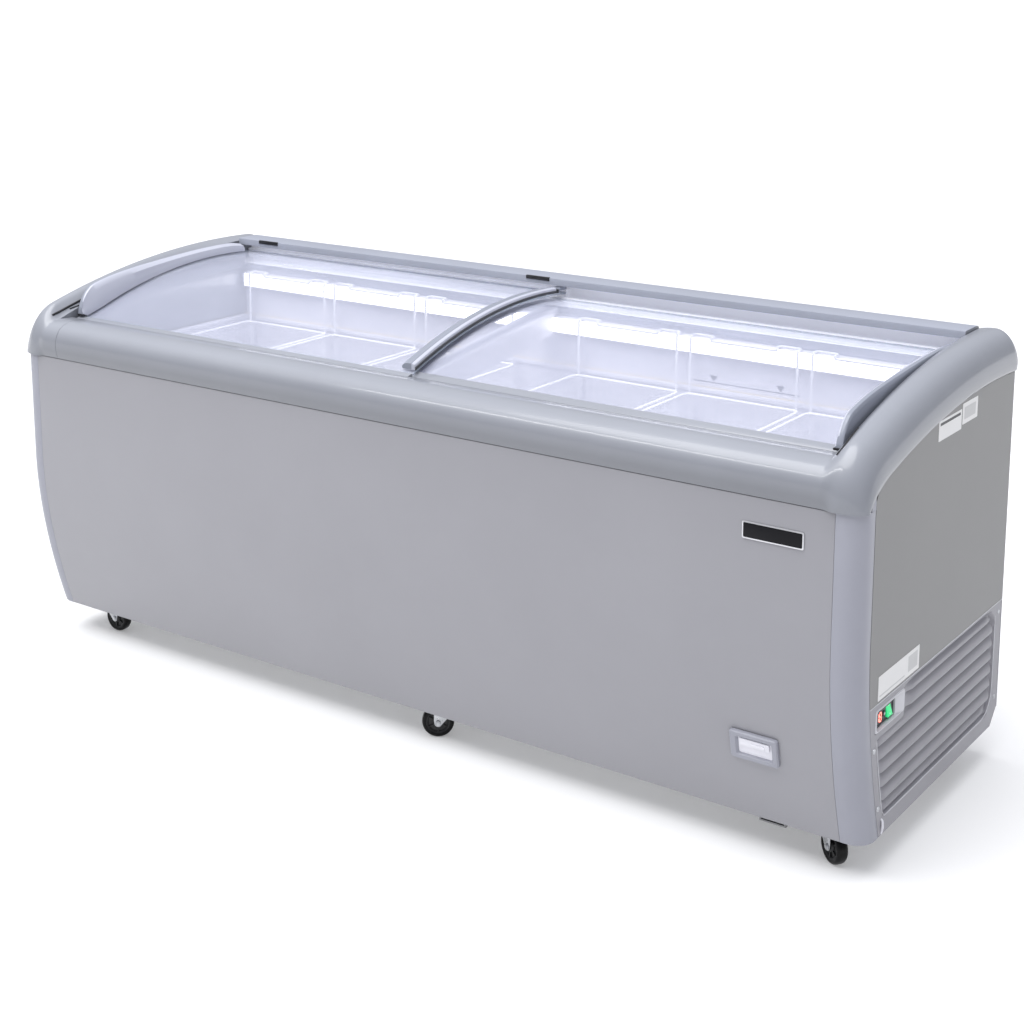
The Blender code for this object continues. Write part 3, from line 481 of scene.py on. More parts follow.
LID_CENTRE, LID_RADIUS = circle_through(at(0.1, 0.734), at(0.326, 0.798), at(0.635, 0.808))


def lid_point(depth, offset):
    radius = LID_RADIUS + offset
    y = FRONT + depth
    return (y, LID_CENTRE[1] + math.sqrt(radius ** 2 - (y - LID_CENTRE[0]) ** 2))


def lid_band(first, last, low, high, steps=64):
    depths = [first + (last - first) * i / steps for i in range(steps + 1)]
    return ([lid_point(d, low) for d in depths] + [lid_point(d, high) for d in reversed(depths)])


def along_lid(section, first, last, steps=64):
    """Rings of an (x, offset) section carried along the lids' curve."""
    rings = []
    for i in range(steps + 1):
        depth = first + (last - first) * i / steps
        rings.append([(x, *lid_point(depth, offset)) for x, offset in section])
    return rings


NOSE = bezier(at(0.0, SEAM_Z + 0.001), at(-0.012, 0.69), at(-0.01, 0.738), at(0.044, 0.741), 28)
INNER_EDGE = NOSE + arc_through(at(0.044, 0.741), at(0.33, 0.812), at(0.679, 0.84), 56)[1:]
RIDGE = (bezier(at(-0.006, SEAM_Z + 0.001), at(-0.007, 0.715), at(0.016, 0.758), at(0.058, 0.772), 28)
         + arc_through(at(0.058, 0.772), at(0.362, 0.833), at(0.679, 0.843), 56)[1:])
LOWER_EDGE = (bezier(at(0.026, SEAM_Z + 0.001), at(0.042, 0.683), at(0.066, 0.699), at(0.098, 0.708), 28)
              + arc_through(at(0.098, 0.708), at(0.33, 0.755), at(0.679, 0.7665), 56)[1:])

# ---------------------------------------------------------------- cabinet shell


def front_panel():
    """Painted front sheet, curving back below."""
    heights = heights_between(BASE_Z, SEAM_Z - 0.0003)
    outer = [(FRONT + setback(z), z) for z in heights]
    inner = [(y + 0.0015, z) for y, z in reversed(outer)]
    shape = Shape().prism(outer + inner, "X", -POST_X + 0.0001, POST_X - 0.0001, bevel=0.0003)
    shape.piece("front_skin", PANEL, "panel_paint", "front_panel", angle=24)


def corner_post(side, sign):
    """Moulded front corner, with an ear that fills the rise of the collar's lower edge."""
    rings = []
    for z in heights_between(BASE_Z, SEAM_Z - 0.0003):
        front = FRONT + setback(z)
        cx, cy = SIDE_X - POST_RADIUS, front + POST_RADIUS
        ring = [(POST_X + 0.0002, front + 0.006, z), (POST_X + 0.0002, front + 0.0006, z),
                (POST_X + 0.0005, front + 0.0001, z), (POST_X + 0.0014, front, z)]
        for i in range(21):
            a = math.pi / 2 * i / 20
            ring.append((cx + POST_RADIUS * math.sin(a), cy - POST_RADIUS * math.cos(a), z))
        edge = front + POST_DEPTH
        ring += [(SIDE_X, edge - 0.0016, z), (SIDE_X - 0.0008, edge - 0.0002, z),
                 (SIDE_X - 0.004, edge - 0.0002, z)]
        rings.append(ring)
    shape = Shape().loft(rings)
    back_edge = FRONT + POST_DEPTH - 0.0002
    ear = [(y, z + 0.004) for y, z in LOWER_EDGE if FRONT + POST_RADIUS < y < back_edge]
    shape.prism([(FRONT + POST_RADIUS, SEAM_Z - 0.0006), *ear, (back_edge, ear[-1][1] + 0.001),
                 (back_edge, SEAM_Z - 0.0006)], "X", SIDE_X - 0.006, SIDE_X)
    if sign < 0:
        shape.mirror()
    shape.piece(f"corner_post_{side}", POST, "post_plastic", f"front_{side}_post", angle=50)


def front_rail():
    """Moulded front rail with its two track grooves; the ends hold a little of its length."""
    fence = TRACK_Z + 0.008
    track = [at(0.0785, 0.7385), at(0.0805, 0.7372), at(0.081, 0.736), at(0.081, TRACK_Z),
             at(0.1025, TRACK_Z), at(0.1025, fence), at(0.1055, fence), at(0.1055, TRACK_Z),
             at(0.128, TRACK_Z), at(0.128, 0.7), at(0.142, 0.7), at(0.142, SEAM_Z)]
    return NOSE + track


def collar():
    """Front and rear rails between the moulded ends."""
    Shape().prism(front_rail(), "X", -JOINT_X + 0.0004, END_X).piece(
        "front_rail", COLLAR, "collar_plastic", "collar_front_rail", angle=30)
    back = 0.679
    shoulder = bezier(at(0.664, 0.845), at(0.674, 0.845), at(back, 0.84), at(back, 0.83), 10)
    rest = [at(back, 0.7669), at(0.606, 0.7669), at(0.606, SLOT_Z), at(0.6295, SLOT_Z),
            at(0.6295, SLOT_Z + 0.006), at(0.6325, SLOT_Z + 0.006), at(0.6325, SLOT_Z),
            at(0.65, SLOT_Z), at(0.65, 0.83), at(0.607, 0.83), at(0.607, 0.8425),
            at(0.6078, 0.8443), at(0.61, 0.845)]
    rail = Shape().prism(shoulder + rest, "X", -END_X + 0.0006, END_X - 0.0006)
    for face in rail.work.faces:
        middle = face.calc_center_median()
        if abs(middle.x) > JOINT_X:
            continue
        # painted light: the faces inside the slot take the glowing lining
        if FRONT + 0.6075 < middle.y < FRONT + 0.6505 and 0.78 < middle.z < 0.8305:
            face.material_index = 1
        # painted light: the top and the front lip take the lighter copy of the collar plastic
        elif middle.z > 0.8435 or middle.y < FRONT + 0.6075:
            face.material_index = 2
    rail.piece("rear_rail", [COLLAR, RAIL_LINING_PAINTED_GLOW, RAIL_TOP_PAINTED_LIGHT], "collar_plastic",
               "collar_rear_rail", angle=30)


def collar_end(side, sign):
    """Moulded end: flush with the rail's nose in front, then a dome beside the lids."""
    ridge_x = 0.95
    rings = []
    for inner, ridge, lower in zip(INNER_EDGE, RIDGE, LOWER_EDGE):
        domed = min(1.0, max(0.0, (inner[0] - FRONT - 0.02) / 0.1))
        edge = 0.0012 * domed
        ring = [(END_X, *lower), (END_X, *between(lower, inner, 1 - 0.07 * domed - 1e-4)),
                (END_X + edge / 3, *between(lower, inner, 1 - 0.015 * domed))]
        for i in range(1, 12):
            u = i / 11
            flush = u * u * (3 - 2 * u)
            dome = math.sin(math.pi / 2 * u) ** 1.15
            share = flush + (dome - flush) * domed
            ring.append((END_X + edge + (ridge_x - END_X - edge) * u,
                         *between(inner, ridge, share)))
        for i in range(1, 19):
            angle = math.pi / 2 * i / 18
            tuck = 0.0044 * (i / 18) ** 7
            ring.append((ridge_x + (HALF - ridge_x) * math.sin(angle) - tuck,
                         *between(lower, ridge, max(math.cos(angle), 0.015))))
        ring.append((HALF - 0.006, *lower))
        rings.append(ring)
    tail = rings[-1]
    middle = Vector((0.955, FRONT + 0.679, 0.8))
    rings = rings[:-1]
    for step, shrink in ((0.6765, 0.995), (0.6782, 0.975), (0.679, 0.945)):
        rings.append([(middle.x + (x - middle.x) * shrink, FRONT + step,
                       middle.z + (z - middle.z) * shrink) for x, y, z in tail])
    shape = Shape().loft(rings)
    upper = [lid_point(d, -0.021) for d in (0.604, 0.55, 0.5, 0.45, 0.4, 0.35, 0.3, 0.25,
                                            0.2, 0.17, 0.1425)]
    shape.prism([at(0.1425, SEAM_Z), at(0.604, SEAM_Z)] + upper, "X", 0.9003, END_X + 0.002,
                bevel=0.0012)
    if sign < 0:
        shape.prism(front_rail(), "X", JOINT_X + 0.0004, END_X)
        shape.mirror()
    skin = BVHTree.FromBMesh(shape.work)
    slits = Shape()
    for x, first, last, radius in ((0.9285, 0.034, 0.12, 0.0026), (0.9225, 0.078, 0.108, 0.0016)):
        path = []
        for i in range(13):
            y = FRONT + first + (last - first) * i / 12
            path.append(skin.ray_cast(Vector((sign * (x - 0.004 * i / 12 + 0.004), y, 0.95)),
                                      Vector((0, 0, -1)))[0])
        slits.tube(path, radius, 10)
    slits.piece(f"track_slits_{side}", BLACK, "black_plastic")
    shape.piece(f"collar_end_{side}", COLLAR, "collar_plastic", f"collar_{side}_end", angle=42)


def rail_details():
    """Black stops in the rear rail and the tracks, and a dark strip behind the gap under the collar as
    painted shade.
    """
    for number, (low, high) in enumerate(((-0.852, -0.792), (-0.066, -0.006)), start=1):
        Shape().box((low, FRONT + 0.6052, 0.8375), (high, FRONT + 0.611, 0.8453), 0,
                    0.0007).piece(f"rear_stop_{number}", BLACK, "black_plastic")
    for number, (first, last) in enumerate(((0.0815, 0.102), (0.106, 0.1275)), start=1):
        for side, sign in SIDES:
            Shape().box((sign * 0.919, FRONT + first, TRACK_Z + 0.0003),
                        (sign * 0.9155, FRONT + last, TRACK_Z + 0.02), 0, 0.0008).piece(
                f"track_stop_{side}_{number}", BLACK, "black_plastic")
    # painted shade: a dark strip behind the gap under the collar makes the gap read dark
    Shape().box((-0.944, FRONT + 0.0018, SEAM_Z - 0.004), (0.944, FRONT + 0.005, SEAM_Z + 0.003)
                ).piece("collar_gap_shade_strip", DARK_SEAL_AND_GAP_SHADE, "black_plastic")


def screws():
    """Countersunk screws on the grille, the back and the base's edges."""
    spots = [("X", (SIDE_X, FRONT + d, z)) for d, z in ((0.084, 0.24), (0.11, 0.1265),
                                                       (0.655, 0.128), (0.655, 0.3))]
    spots += [("Y", (x, BACK, z)) for x in (-0.975, -0.6, -0.2, 0.2, 0.6, 0.975)
              for z in (0.12 if abs(x) < 0.9 else 0.14, 0.745)]
    shape = Shape()
    for axis, place in spots:
        start = shape.count()
        shape.turned([(0.0, 0.0009), (0.0018, 0.0009), (0.0021, 0.0004), (0.0031, 0.0012),
                      (0.0042, 0.0011), (0.0048, 0.0), (0.0048, -0.001), (0.0, -0.001)],
                     (0, 0, 0), "Z", 24)
        turn = (Matrix.Rotation(math.pi / 2, 4, "Y") if axis == "X"
                else Matrix.Rotation(-math.pi / 2, 4, "X"))
        shape.moved(Matrix.Translation(place) @ turn, start)
    shape.piece("case_screws", ZINC, "zinc_steel")


def side_and_back():
    """CAD sheets that keep their shape, with paint and other materials; the side panels carry a darker
    copy of the paint as painted shade.
    """
    for name, look in (("left_side_panel", SHADED_SIDE_PAINT), ("right_side_panel", SHADED_SIDE_PAINT),
                       ("back_panel", PANEL), ("base_pan", ZINC), ("inner_liner", LINER_WHITE),
                       ("foam_insulation", FOAM), ("rear_upstand", LINER_WHITE),
                       ("underframe_channel", DARK_STEEL), ("cord_gland", BLACK)):
        item = NODES[name]
        item.data.materials.clear()
        item.data.materials.append(look)
        edge = item.modifiers.new("edge", "BEVEL")
        edge.width = 0.0004
        edge.segments = 2
        edge.limit_method = "ANGLE"
        edge.angle_limit = math.radians(50)
    louvres = Shape()
    for row in range(7):
        z = 0.12 + 0.17 * (row + 0.5) / 7
        louvres.prism([(BACK - 0.0012, z + 0.005), (BACK + 0.0035, z + 0.0025),
                       (BACK + 0.0042, z - 0.0042), (BACK + 0.0034, z - 0.0046),
                       (BACK + 0.0026, z + 0.0012), (BACK - 0.0012, z + 0.0036)],
                      "X", 0.702, 0.948, bevel=0.0003)
    louvres.piece("rear_vent_louvres", PANEL, "panel_paint")
    Shape().prism(rounded_outline((-0.16, 0.19), (0.16, 0.33), 0.006), "Y", BACK + 0.0001,
                  BACK + 0.0005).piece("rear_data_plate", SILVER, "satin_metal")
    corner = Shape()
    for x, z in ((-0.962, 0.3), (-0.962, 0.52), (0.962, 0.52)):
        corner.cylinder((x, BACK + 0.0004, z), 0.0045, 0.001, "Y", 20, bevel=0.0003)
    corner.piece("rear_rivets", ZINC, "zinc_steel")


# ---------------------------------------------------------------- lids

GRIP_TOP = smooth_through((
    (0.092, 0.76), (0.1, 0.78), (0.114, 0.797), (0.135, 0.809), (0.19, 0.82),
    (0.255, 0.8275), (0.32, 0.8325), (0.42, 0.8385), (0.5, 0.841), (0.56, 0.84),
    (0.598, 0.834)), 7)


def grip(side, sign, front, level):
    """Handle bar at a lid's outer end: a bevelled fin that rises from a low foot in front."""
    rings = []
    for depth, top in GRIP_TOP:
        high = top + level - 0.0006
        lift = 0.0038 if depth < front else 0.0006
        low = lid_point(max(depth, front), level + GLASS)[1] + lift
        y = FRONT + depth
        near = min(1.0, (depth - 0.088) / 0.05)
        width = 0.0145 + 0.009 * near
        slope = low + (high - low) * 0.38
        out = LID_END_X - 0.0002
        inn = out - width
        crown = min(0.0035, (high - low) * 0.2)
        rings.append([
            (out - 0.0008, y, low), (out, y, low + 0.001), (out, y, high - 2.4 * crown),
            (out - 0.0006, y, high - 1.2 * crown), (out - 0.0024, y, high - 0.35 * crown),
            (out - 0.0052, y, high), (out - 0.0086, y, high - 0.1 * crown),
            (out - 0.0118, y, high - 0.6 * crown),
            (inn + 0.0042, y, slope + (high - slope) * 0.6), (inn + 0.0016, y, slope + 0.001),
            (inn + 0.0004, y, slope - 0.0025), (inn, y, low + 0.001), (inn + 0.0008, y, low)])
    shape = Shape().loft(rings)
    # painted reflection: the grip's inner slope takes the lighter copy of the bar plastic
    for face in shape.work.faces:
        painted_light_face = 0.12 < -face.normal.x and face.normal.z > -0.2
        face.material_index = 2 if painted_light_face and abs(face.normal.y) < 0.9 else 0
    foot = lid_point(front, level + GLASS)[1] + 0.0036
    shape.box((0.899, FRONT + 0.0885, foot - 0.0008), (0.9135, FRONT + 0.098, foot + 0.003), 1,
              0.0008)
    if sign < 0:
        shape.mirror()
    shape.piece(f"grip_{side}", [LID_PLASTIC, BLACK, LID_PAINTED_LIGHT], "lid_plastic",
                f"{side}_lid_grip_bar", body=f"{side}_lid", angle=32)


def lid(side, sign, level):
    """Bent glass, grip, middle bar and two runners; level is 0 for the upper lid, else negative."""
    lower = level < 0
    front, back = (0.1253, 0.6157) if lower else (0.1013, 0.6337)
    low, high = sorted((-sign * 0.02, sign * LID_END_X))
    body = f"{side}_lid"
    pane = Shape().prism(lid_band(front, back, level, level + GLASS), "X", low, high,
                         bevel=0.0009)
    for face in pane.work.faces:
        middle = face.calc_center_median()
        side_face = abs(face.normal.x) > 0.3
        end_face = middle.y < FRONT + front + 0.0012 or middle.y > FRONT + back - 0.0012
        face.material_index = 1 if side_face or end_face else 0
    pane.piece(f"bent_glass_{side}", [GLASS_CLEAR, GLASS_EDGE], "lid_glass",
               f"{side}_lid_glass", body=body, angle=25)
    grip(side, sign, front, level)
    first, last = front + 0.01, back - 0.006
    bar = Shape()
    if lower:
        top, bottom = level - 0.0005, level - 0.006
        bar.loft(along_lid([(-0.0195, top), (0.0135, top), (0.0135, bottom + 0.002),
                            (0.011, bottom), (-0.0165, bottom), (-0.0195, bottom + 0.002)],
                           first, last), 0)
        looks = [LID_PAINTED_LIGHT]
    else:
        base = level + GLASS + 0.0004
        last = 0.6
        bar.loft(along_lid([(-0.0138, base), (-0.0138, base + 0.0042), (-0.0125, base + 0.0066),
                            (-0.0085, base + 0.0092), (-0.003, base + 0.0106),
                            (0.0078, base + 0.0113), (0.0086, base + 0.0104), (0.0086, base)],
                           first, last), 0)
        # painted highlight: the upper bar's right stripe is in the lighter copy of the bar plastic
        bar.loft(along_lid([(0.0089, base), (0.0089, base + 0.0102), (0.0098, base + 0.0112),
                            (0.013, base + 0.0107), (0.0158, base + 0.009),
                            (0.0172, base + 0.0062), (0.0172, base)], first, last), 1)
        bar.loft(along_lid([(0.0174, base), (0.0174, base + 0.005), (0.0194, base + 0.0044),
                            (0.0198, base)], first, last), 2)
        looks = [LID_PLASTIC, LID_PAINTED_LIGHT, DARK_SEAL_AND_GAP_SHADE]
        clip = Shape()
        clip.box((0.0005, FRONT + 0.605, 0.8185), (0.0215, FRONT + 0.633, 0.8255), 0, 0.0012)
        clip.box((0.006, FRONT + 0.599, 0.815), (0.0205, FRONT + 0.6055, 0.8225), 1, 0.001)
        clip.piece("middle_bar_clip", [LID_PLASTIC, BLACK], "lid_plastic", body=body)
    bar.piece(f"middle_bar_{side}", looks, "lid_plastic", f"{side}_lid_middle_bar",
              body=body, angle=28)

    foot, slot_foot = TRACK_Z + 0.0003, SLOT_Z + 0.0003
    if lower:
        front_runner = [at(0.1072, foot), at(0.1248, foot), at(0.1248, 0.733),
                        at(0.125, 0.7372), at(0.1225, 0.737), at(0.1072, 0.73)]
        first, last, top = 0.616, 0.629, 0.803
    else:
        front_runner = [at(0.0842, foot), at(0.1008, foot), at(0.1008, 0.7385),
                        at(0.0985, 0.7395), at(0.0842, 0.7358)]
        first, last, top = 0.634, 0.647, 0.817
    rear_runner = [at(first, slot_foot), at(last, slot_foot), at(last, top), at(first, top)]
    # painted light: the rear runners take the glowing lining
    for place, outline, look in (("front", front_runner, COLLAR),
                                 ("rear", rear_runner, RAIL_LINING_PAINTED_GLOW)):
        Shape().prism(outline, "X", low, high, bevel=0.0008).piece(
            f"{place}_runner_{side}", look, "lid_plastic", f"{side}_lid_{place}_runner", body=body)


# ---------------------------------------------------------------- inside


def inside():
    """Middle beam, lamp, trim around the liner's top edge and the printed load line."""
    outline = [at(0.129, 0.713), at(0.1433, 0.7148), at(0.1505, 0.6768), at(0.154, 0.6768),
               at(0.582, 0.725), at(0.5855, 0.7268), at(0.5855, 0.7668), at(0.605, 0.769),
               at(0.605, 0.7836), at(0.129, 0.7252)]
    beam = Shape().prism(outline, "X", -0.0198, 0.0198, bevel=0.0022, segments=3)
    beam.piece("middle_beam", LINER_WHITE, "liner_plastic", "center_beam")
    housing = [at(0.5922, 0.7302), at(0.6055, 0.7302), at(0.6055, 0.7658), at(0.5975, 0.7658),
               at(0.5922, 0.763)]
    Shape().prism(housing, "X", -0.8958, 0.8958, bevel=0.0008).piece(
        "lamp_housing", LINER_WHITE, "collar_plastic", "led_housing")
    lens = [at(0.592, 0.7325), at(0.5905, 0.7335), at(0.5898, 0.74), at(0.5896, 0.748),
            at(0.5898, 0.756), at(0.5905, 0.7622), at(0.592, 0.7632)]
    Shape().prism(lens, "X", -0.8895, 0.8895).piece("lamp_lens", LAMP, "led_lens", "led_diffuser")
    caps = Shape()
    for sign in (-1, 1):
        caps.box((sign * 0.8897, FRONT + 0.5893, 0.73), (sign * 0.8955, FRONT + 0.5921, 0.7655),
                 0, 0.0008)
    caps.piece("lamp_end_caps", LID_PLASTIC, "lid_plastic")
    trim = Shape()
    strips = [(sign * 0.8995, sign * 0.8965, 0.0825, 0.5975) for sign in (-1, 1)]
    strips += [(-0.896, 0.896, 0.5968, 0.5995), (-0.896, 0.896, 0.0805, 0.0832)]
    for x0, x1, first, last in strips:
        trim.box((x0, FRONT + first, 0.65), (x1, FRONT + last, 0.6598), 0, 0.001)
    trim.piece("liner_top_trim", LINER_WHITE, "liner_plastic")
    mark = Shape()
    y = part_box("rear_upstand")[0].y - 0.0004
    mark.box((0.352, y, 0.6712), (0.59, y + 0.0003, 0.6729))
    for x in (0.398, 0.548):
        mark.prism([(x - 0.009, 0.6865), (x + 0.009, 0.6865), (x, 0.6745)], "Y", y, y + 0.0003)
    mark.piece("load_line", GREY_PRINT, "liner_plastic")


def basket(name, x):
    """Wire basket: fine wires under a heavier rim, with hooked hangers front and back."""
    low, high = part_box(name)
    half = (high.x - low.x) / 2 - 0.003
    front = FRONT + 0.146 + 0.003
    back = FRONT + 0.586 - 0.003
    floor, rim = 0.4345, 0.6475
    fine, heavy = 0.0012, 0.0031
    shape = Shape()

    def loop(z, inset, radius):
        corners = [(x - half + inset, front + inset, z), (x + half - inset, front + inset, z),
                   (x + half - inset, back - inset, z), (x - half + inset, back - inset, z)]
        shape.tube(rounded(corners, 0.016, 4, True), radius, 8, around=True)

    loop(rim, 0.0, heavy)
    loop((rim + floor) / 2, 0.001, 0.0014)
    loop(floor + 0.003, 0.002, 0.0018)
    count = 15
    for i in range(count):
        wx = x + (half - 0.014) * (2 * i / (count - 1) - 1)
        shape.tube(rounded([(wx, front, rim), (wx, front + 0.001, floor),
                            (wx, back - 0.001, floor), (wx, back, rim)], 0.01, 3), fine, 5)
    count = 32
    for i in range(count):
        wy = front + 0.014 + (back - front - 0.028) * i / (count - 1)
        shape.tube(rounded([(x - half, wy, rim), (x - half + 0.001, wy, floor - 0.0015),
                            (x + half - 0.001, wy, floor - 0.0015), (x + half, wy, rim)],
                           0.01, 3), fine, 5)
    hang = half - 0.007
    ledge, shelf = 0.7003 + 0.0022, 0.7663 + 0.0022
    for wall, hook, top, run in ((front + 0.001, FRONT + 0.132, ledge, ledge - 0.006),
                                 (back + 0.0, FRONT + 0.602, shelf, shelf - 0.006)):
        toward = 0.0015 if hook > wall else -0.0015
        for sign in (-1, 1):
            outer, inner = x + sign * hang, x + sign * (hang - 0.046)
            path = [(outer, wall, floor + 0.006), (outer, wall, top), (outer, hook, top),
                    (inner, hook, top), (inner, wall + toward, top), (inner, wall + toward, run),
                    (x, wall + toward, run)]
            shape.tube(rounded(path, 0.007, 4), 0.0027, 8)
    shape.piece(f"wire_{name}", WIRE, "coated_wire", name, body=f"{name}_body", angle=60)


# ---------------------------------------------------------------- grille and controls


def grille():
    """Machine compartment cover, moulded in one: sunk field, rounded ribs and fine vent slots."""
    top, corner, deep, swell = 0.32, 0.03, 0.0088, 0.009
    low_rib, pitch, rows = 0.1015, 0.0268, 8
    field_end = FRONT + 0.642
    pocket = (FRONT + 0.0853, FRONT + 0.2047, 0.2683, 0.3097)

    def left(z):
        return FRONT + setback(z) + POST_DEPTH + 0.0004

    def inside_field(y, z):
        """Distance inside the field's edge: straight sides, a large radius at the rear."""
        start = left(z) + 0.024
        if z > pocket[2] - 0.012:
            start = max(start, pocket[1] + 0.012)
        u = min(y - start, field_end - y)
        v = min(z - low_rib, low_rib + rows * pitch - z)
        radius = 0.05 if y > FRONT + 0.4 else 0.012
        if u < radius and v < radius:
            return radius - math.hypot(radius - u, radius - v)
        return min(u, v)

    def height(y, z):
        depth = inside_field(y, z)
        sink = min(1.0, max(0.0, depth / 0.005))
        sink = sink * sink * (3 - 2 * sink)
        part = ((z - low_rib) / pitch) % 1.0
        rib = math.sin(math.pi * part ** 0.62) ** 0.85
        fade = min(1.0, max(0.0, (depth - 0.002) / 0.012))
        return SIDE_X - 0.0004 - deep * sink + swell * rib * fade * sink

    levels = [BASE_Z + (low_rib - BASE_Z) * i / 8 for i in range(8)]
    levels += [low_rib + pitch * i / 15 for i in range(15 * rows + 1)]
    levels += [0.3175, 0.319, top]
    sill, head = pocket[2:]
    levels = sorted({round(z, 5) for z in levels
                     if min(abs(z - sill), abs(z - head)) > 0.0006} | {sill, head})
    slots = {i for i, z in enumerate(levels[:-1])
             if low_rib + pitch * 0.5 < z < top - 0.01
             and ((z + levels[i + 1]) / 2 - low_rib) / pitch % 1.0 < 0.12}

    def columns(z):
        first = max(pocket[0], left(z) + 0.012)
        if abs(first - pocket[0]) < 0.0005:
            first = pocket[0]
        last = BACK - 0.0018 - max(0.0, corner - (z - BASE_Z))
        stops = (left(z), first, pocket[1], FRONT + 0.62, field_end, last)
        cuts = [a + (b - a) * i / steps for a, b, steps in zip(stops, stops[1:], (6, 14, 22, 7, 3))
                for i in range(steps)]
        return cuts + [last]

    grid = [[(y, z) for y in columns(z)] for z in levels]
    shape = Shape()
    work = shape.work
    faces = [[work.verts.new((height(y, z), y, z)) for y, z in row] for row in grid]
    backs = [[work.verts.new((height(y, z) - 0.002, y, z)) for y, z in row] for row in grid]
    count = len(grid[0]) - 1

    def kept(i, j):
        if not (0 <= i < len(grid) - 1 and 0 <= j < count):
            return False
        y = (grid[i][j][0] + grid[i + 1][j + 1][0]) / 2
        z = (grid[i][j][1] + grid[i + 1][j + 1][1]) / 2
        if pocket[0] < y < pocket[1] and pocket[2] < z < pocket[3]:
            return False
        return not (i in slots and inside_field(y, z) > 0.014)

    for i in range(len(grid) - 1):
        for j in range(count):
            if not kept(i, j):
                continue
            work.faces.new((faces[i][j], faces[i][j + 1], faces[i + 1][j + 1], faces[i + 1][j]))
            work.faces.new((backs[i][j], backs[i + 1][j], backs[i + 1][j + 1], backs[i][j + 1]))
            for (di, dj), (a, b) in (((-1, 0), ((i, j), (i, j + 1))),
                                     ((0, 1), ((i, j + 1), (i + 1, j + 1))),
                                     ((1, 0), ((i + 1, j + 1), (i + 1, j))),
                                     ((0, -1), ((i + 1, j), (i, j)))):
                if not kept(i + di, j + dj):
                    work.faces.new((faces[a[0]][a[1]], backs[a[0]][a[1]], backs[b[0]][b[1]],
                                    faces[b[0]][b[1]]))
    bmesh.ops.recalc_face_normals(work, faces=work.faces)
    shape.piece("ribbed_grille", GRILLE, "grille_plastic", "side_grille", angle=40)
    # painted highlight: a thin pale bead along the sunk field's front, lower and rear edges and a pale
    # strip on the top edge stand in for the light these edges catch
    lip = Shape()
    path = [(left(0.254 - 0.024 * k) + 0.0243, 0.254 - 0.024 * k) for k in range(6)]
    path += [(left(0.114) + 0.0243, 0.114), (left(0.101) + 0.03, low_rib + 0.0006),
             at(0.59, low_rib + 0.0006)]
    for k in range(1, 9):
        a = math.pi / 2 * k / 9
        path.append(at(0.592 + 0.0494 * math.sin(a), low_rib + 0.0506 - 0.05 * math.cos(a)))
    path += [at(0.6414, 0.16), at(0.6414, 0.296)]
    lip.tube(flat(path, "X", SIDE_X - 0.0012), 0.001, 8)
    lip.box((SIDE_X - 0.004, FRONT + 0.06, top - 0.0002),
            (SIDE_X + 0.0006, BACK - 0.002, top + 0.0014), 0, 0.0004)
    lip.piece("grille_edge_painted_highlight", PALE_TRIM_AND_EDGE_HIGHLIGHT, "grille_plastic")


